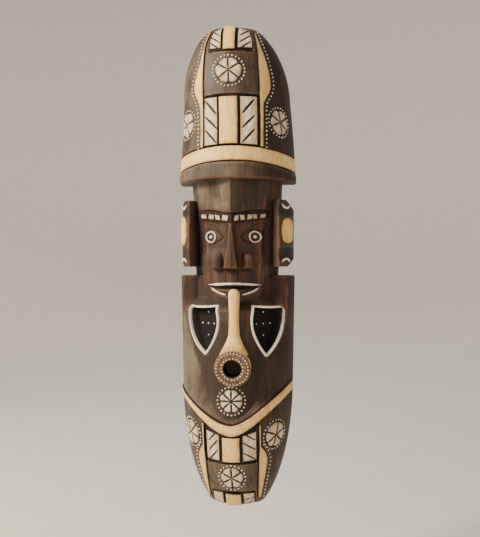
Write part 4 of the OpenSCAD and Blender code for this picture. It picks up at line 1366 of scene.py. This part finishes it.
for key, label in (("hat", "hat"), ("torso", "body")):
    seats, normals = [], []
    for name, block_key, at, turn, r, ring, cuts in rosette_spots():
        if block_key == key:
            count = int(2 * math.pi * ring / 3.9)
            a = np.linspace(0, 2 * math.pi, count, endpoint=False) + 0.1
            p, n = on_wood(key, np.column_stack([ring * np.cos(a), at + ring * np.sin(a)]),
                           math.radians(turn))
            seats.append(p)
            normals.append(n)
    dots(f"{label}_flower_dots", seats, normals, 0.85, 8)

seats, normals = [], []
axis = np.subtract(*tilted(np.array([[0, 0, 1.0], [0, 0, 0]])))
for ring, count in ((10.9, 20), (16.1, 30)):
    a = np.linspace(0, 2 * math.pi, count, endpoint=False) + ring
    seats.append(tilted(np.column_stack([ring * np.cos(a), ring * np.sin(a),
                                         np.full(count, -0.22)])))
    normals.append(np.tile(axis, (count, 1)))
dots("bowl_dots", seats, normals, 0.72, 11)

seats, normals = [], []
for side in (-1, 1):
    turn = shield_turn(side)
    for u, h in ((0, 202), (0, 190), (0, 178), (-9, 190), (9, 190)):
        out = np.array([math.sin(turn), -math.cos(turn), 0])
        right = np.array([math.cos(turn), math.sin(turn), 0])
        seats.append(out * (PIT_FLOOR + 0.1) + right * (u - side * 0.5) + [0, 0, h])
        normals.append(out)
dots("shield_dots", seats, normals, 0.85, 14)

# The hanger keeps its own shape and gets its plating.
for name in ("hanger_strap", "hanger_ring", "hanger_screws"):
    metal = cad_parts[name]
    if not metal.material_slots:
        metal.data.materials.append(STEEL)
    for spot in metal.material_slots:
        spot.material = STEEL


# ---------------------------------------------------------------------------
# Stage: a pale bowl of floor and wall, soft lights, and the camera.
# ---------------------------------------------------------------------------
def stage():
    """A round floor that sweeps up into a wall all the way round."""
    m = bpy.data.materials.new("matt_studio_paper")
    m.use_nodes = True
    t, s = m.node_tree, m.node_tree.nodes["Principled BSDF"]
    s.inputs["Roughness"].default_value = 0.9
    fibre = grain(t, 30, 30, 3, 0.6)
    t.links.new(ramp(t, fibre, (0.3, "#dedbd5"), (0.7, "#e4e1dc")), s.inputs["Base Color"])
    floor, far, corner = -0.62, 2.6, 0.9
    sweep = [(far - corner + corner * math.sin(a), floor + corner * (1 - math.cos(a)))
             for a in np.linspace(0, HALF, 12)]
    profile = [(0.001, floor)] + sweep + [(far, 2.6)]
    spokes = 96
    points, faces = [], []
    for r, z in profile:
        points += [(r * math.cos(a), r * math.sin(a), z)
                   for a in np.linspace(0, 2 * math.pi, spokes, endpoint=False)]
    mesh = bpy.data.meshes.new("studio_floor")
    mesh.from_pydata(points, [], grid_faces(len(profile), spokes, wrap_cols=True))
    mesh.polygons.foreach_set("use_smooth", [True] * len(mesh.polygons))
    mesh.materials.append(m)
    o = bpy.data.objects.new("studio_floor", mesh)
    bpy.context.scene.collection.objects.link(o)


def lamp(name, place, aim, size, watts, tint):
    """A square soft light at a place in metres, turned to what it aims at."""
    data = bpy.data.lights.new(name, "AREA")
    data.shape, data.size, data.energy = "SQUARE", size, watts
    data.color = ink(tint)[:3]
    o = bpy.data.objects.new(name, data)
    o.location = place
    bpy.context.scene.collection.objects.link(o)
    way = np.array(aim, float) - np.array(place, float)
    way /= np.linalg.norm(way)
    o.rotation_euler = (math.acos(-way[2]), 0, math.atan2(way[1], way[0]) - HALF)


stage()
MIDDLE = (0, -0.03, -0.22)
lamp("key_window", (-1.2, -0.85, 0.75), MIDDLE, 0.5, 66, "#fff1dd")
lamp("fill", (0.6, -1.4, 0.2), MIDDLE, 1.2, 3, "#f6f4ff")
lamp("back_fill", (0.0, 1.6, 0.8), MIDDLE, 1.4, 9, "#ffffff")
world = bpy.data.worlds.new("pale_room")
world.use_nodes = True
world.node_tree.nodes["Background"].inputs["Color"].default_value = ink("#f2f0ec")
world.node_tree.nodes["Background"].inputs["Strength"].default_value = 0.27
bpy.context.scene.world = world

turn = math.radians(8)
forward = np.array([-math.sin(turn), math.cos(turn), 0])
right = np.array([math.cos(turn), math.sin(turn), 0])
data = bpy.data.cameras.new("camera")
data.lens, data.sensor_width, data.sensor_fit = 43.04, 36, "AUTO"
data.clip_start, data.clip_end = 0.05, 20
camera = bpy.data.objects.new("camera", data)
camera.location = -forward * 0.7 + right * 0.00185 + np.array([0, 0, (247 - HOOK) / 1000])
camera.rotation_euler = (HALF, 0, turn)
bpy.context.scene.collection.objects.link(camera)
bpy.context.scene.camera = camera
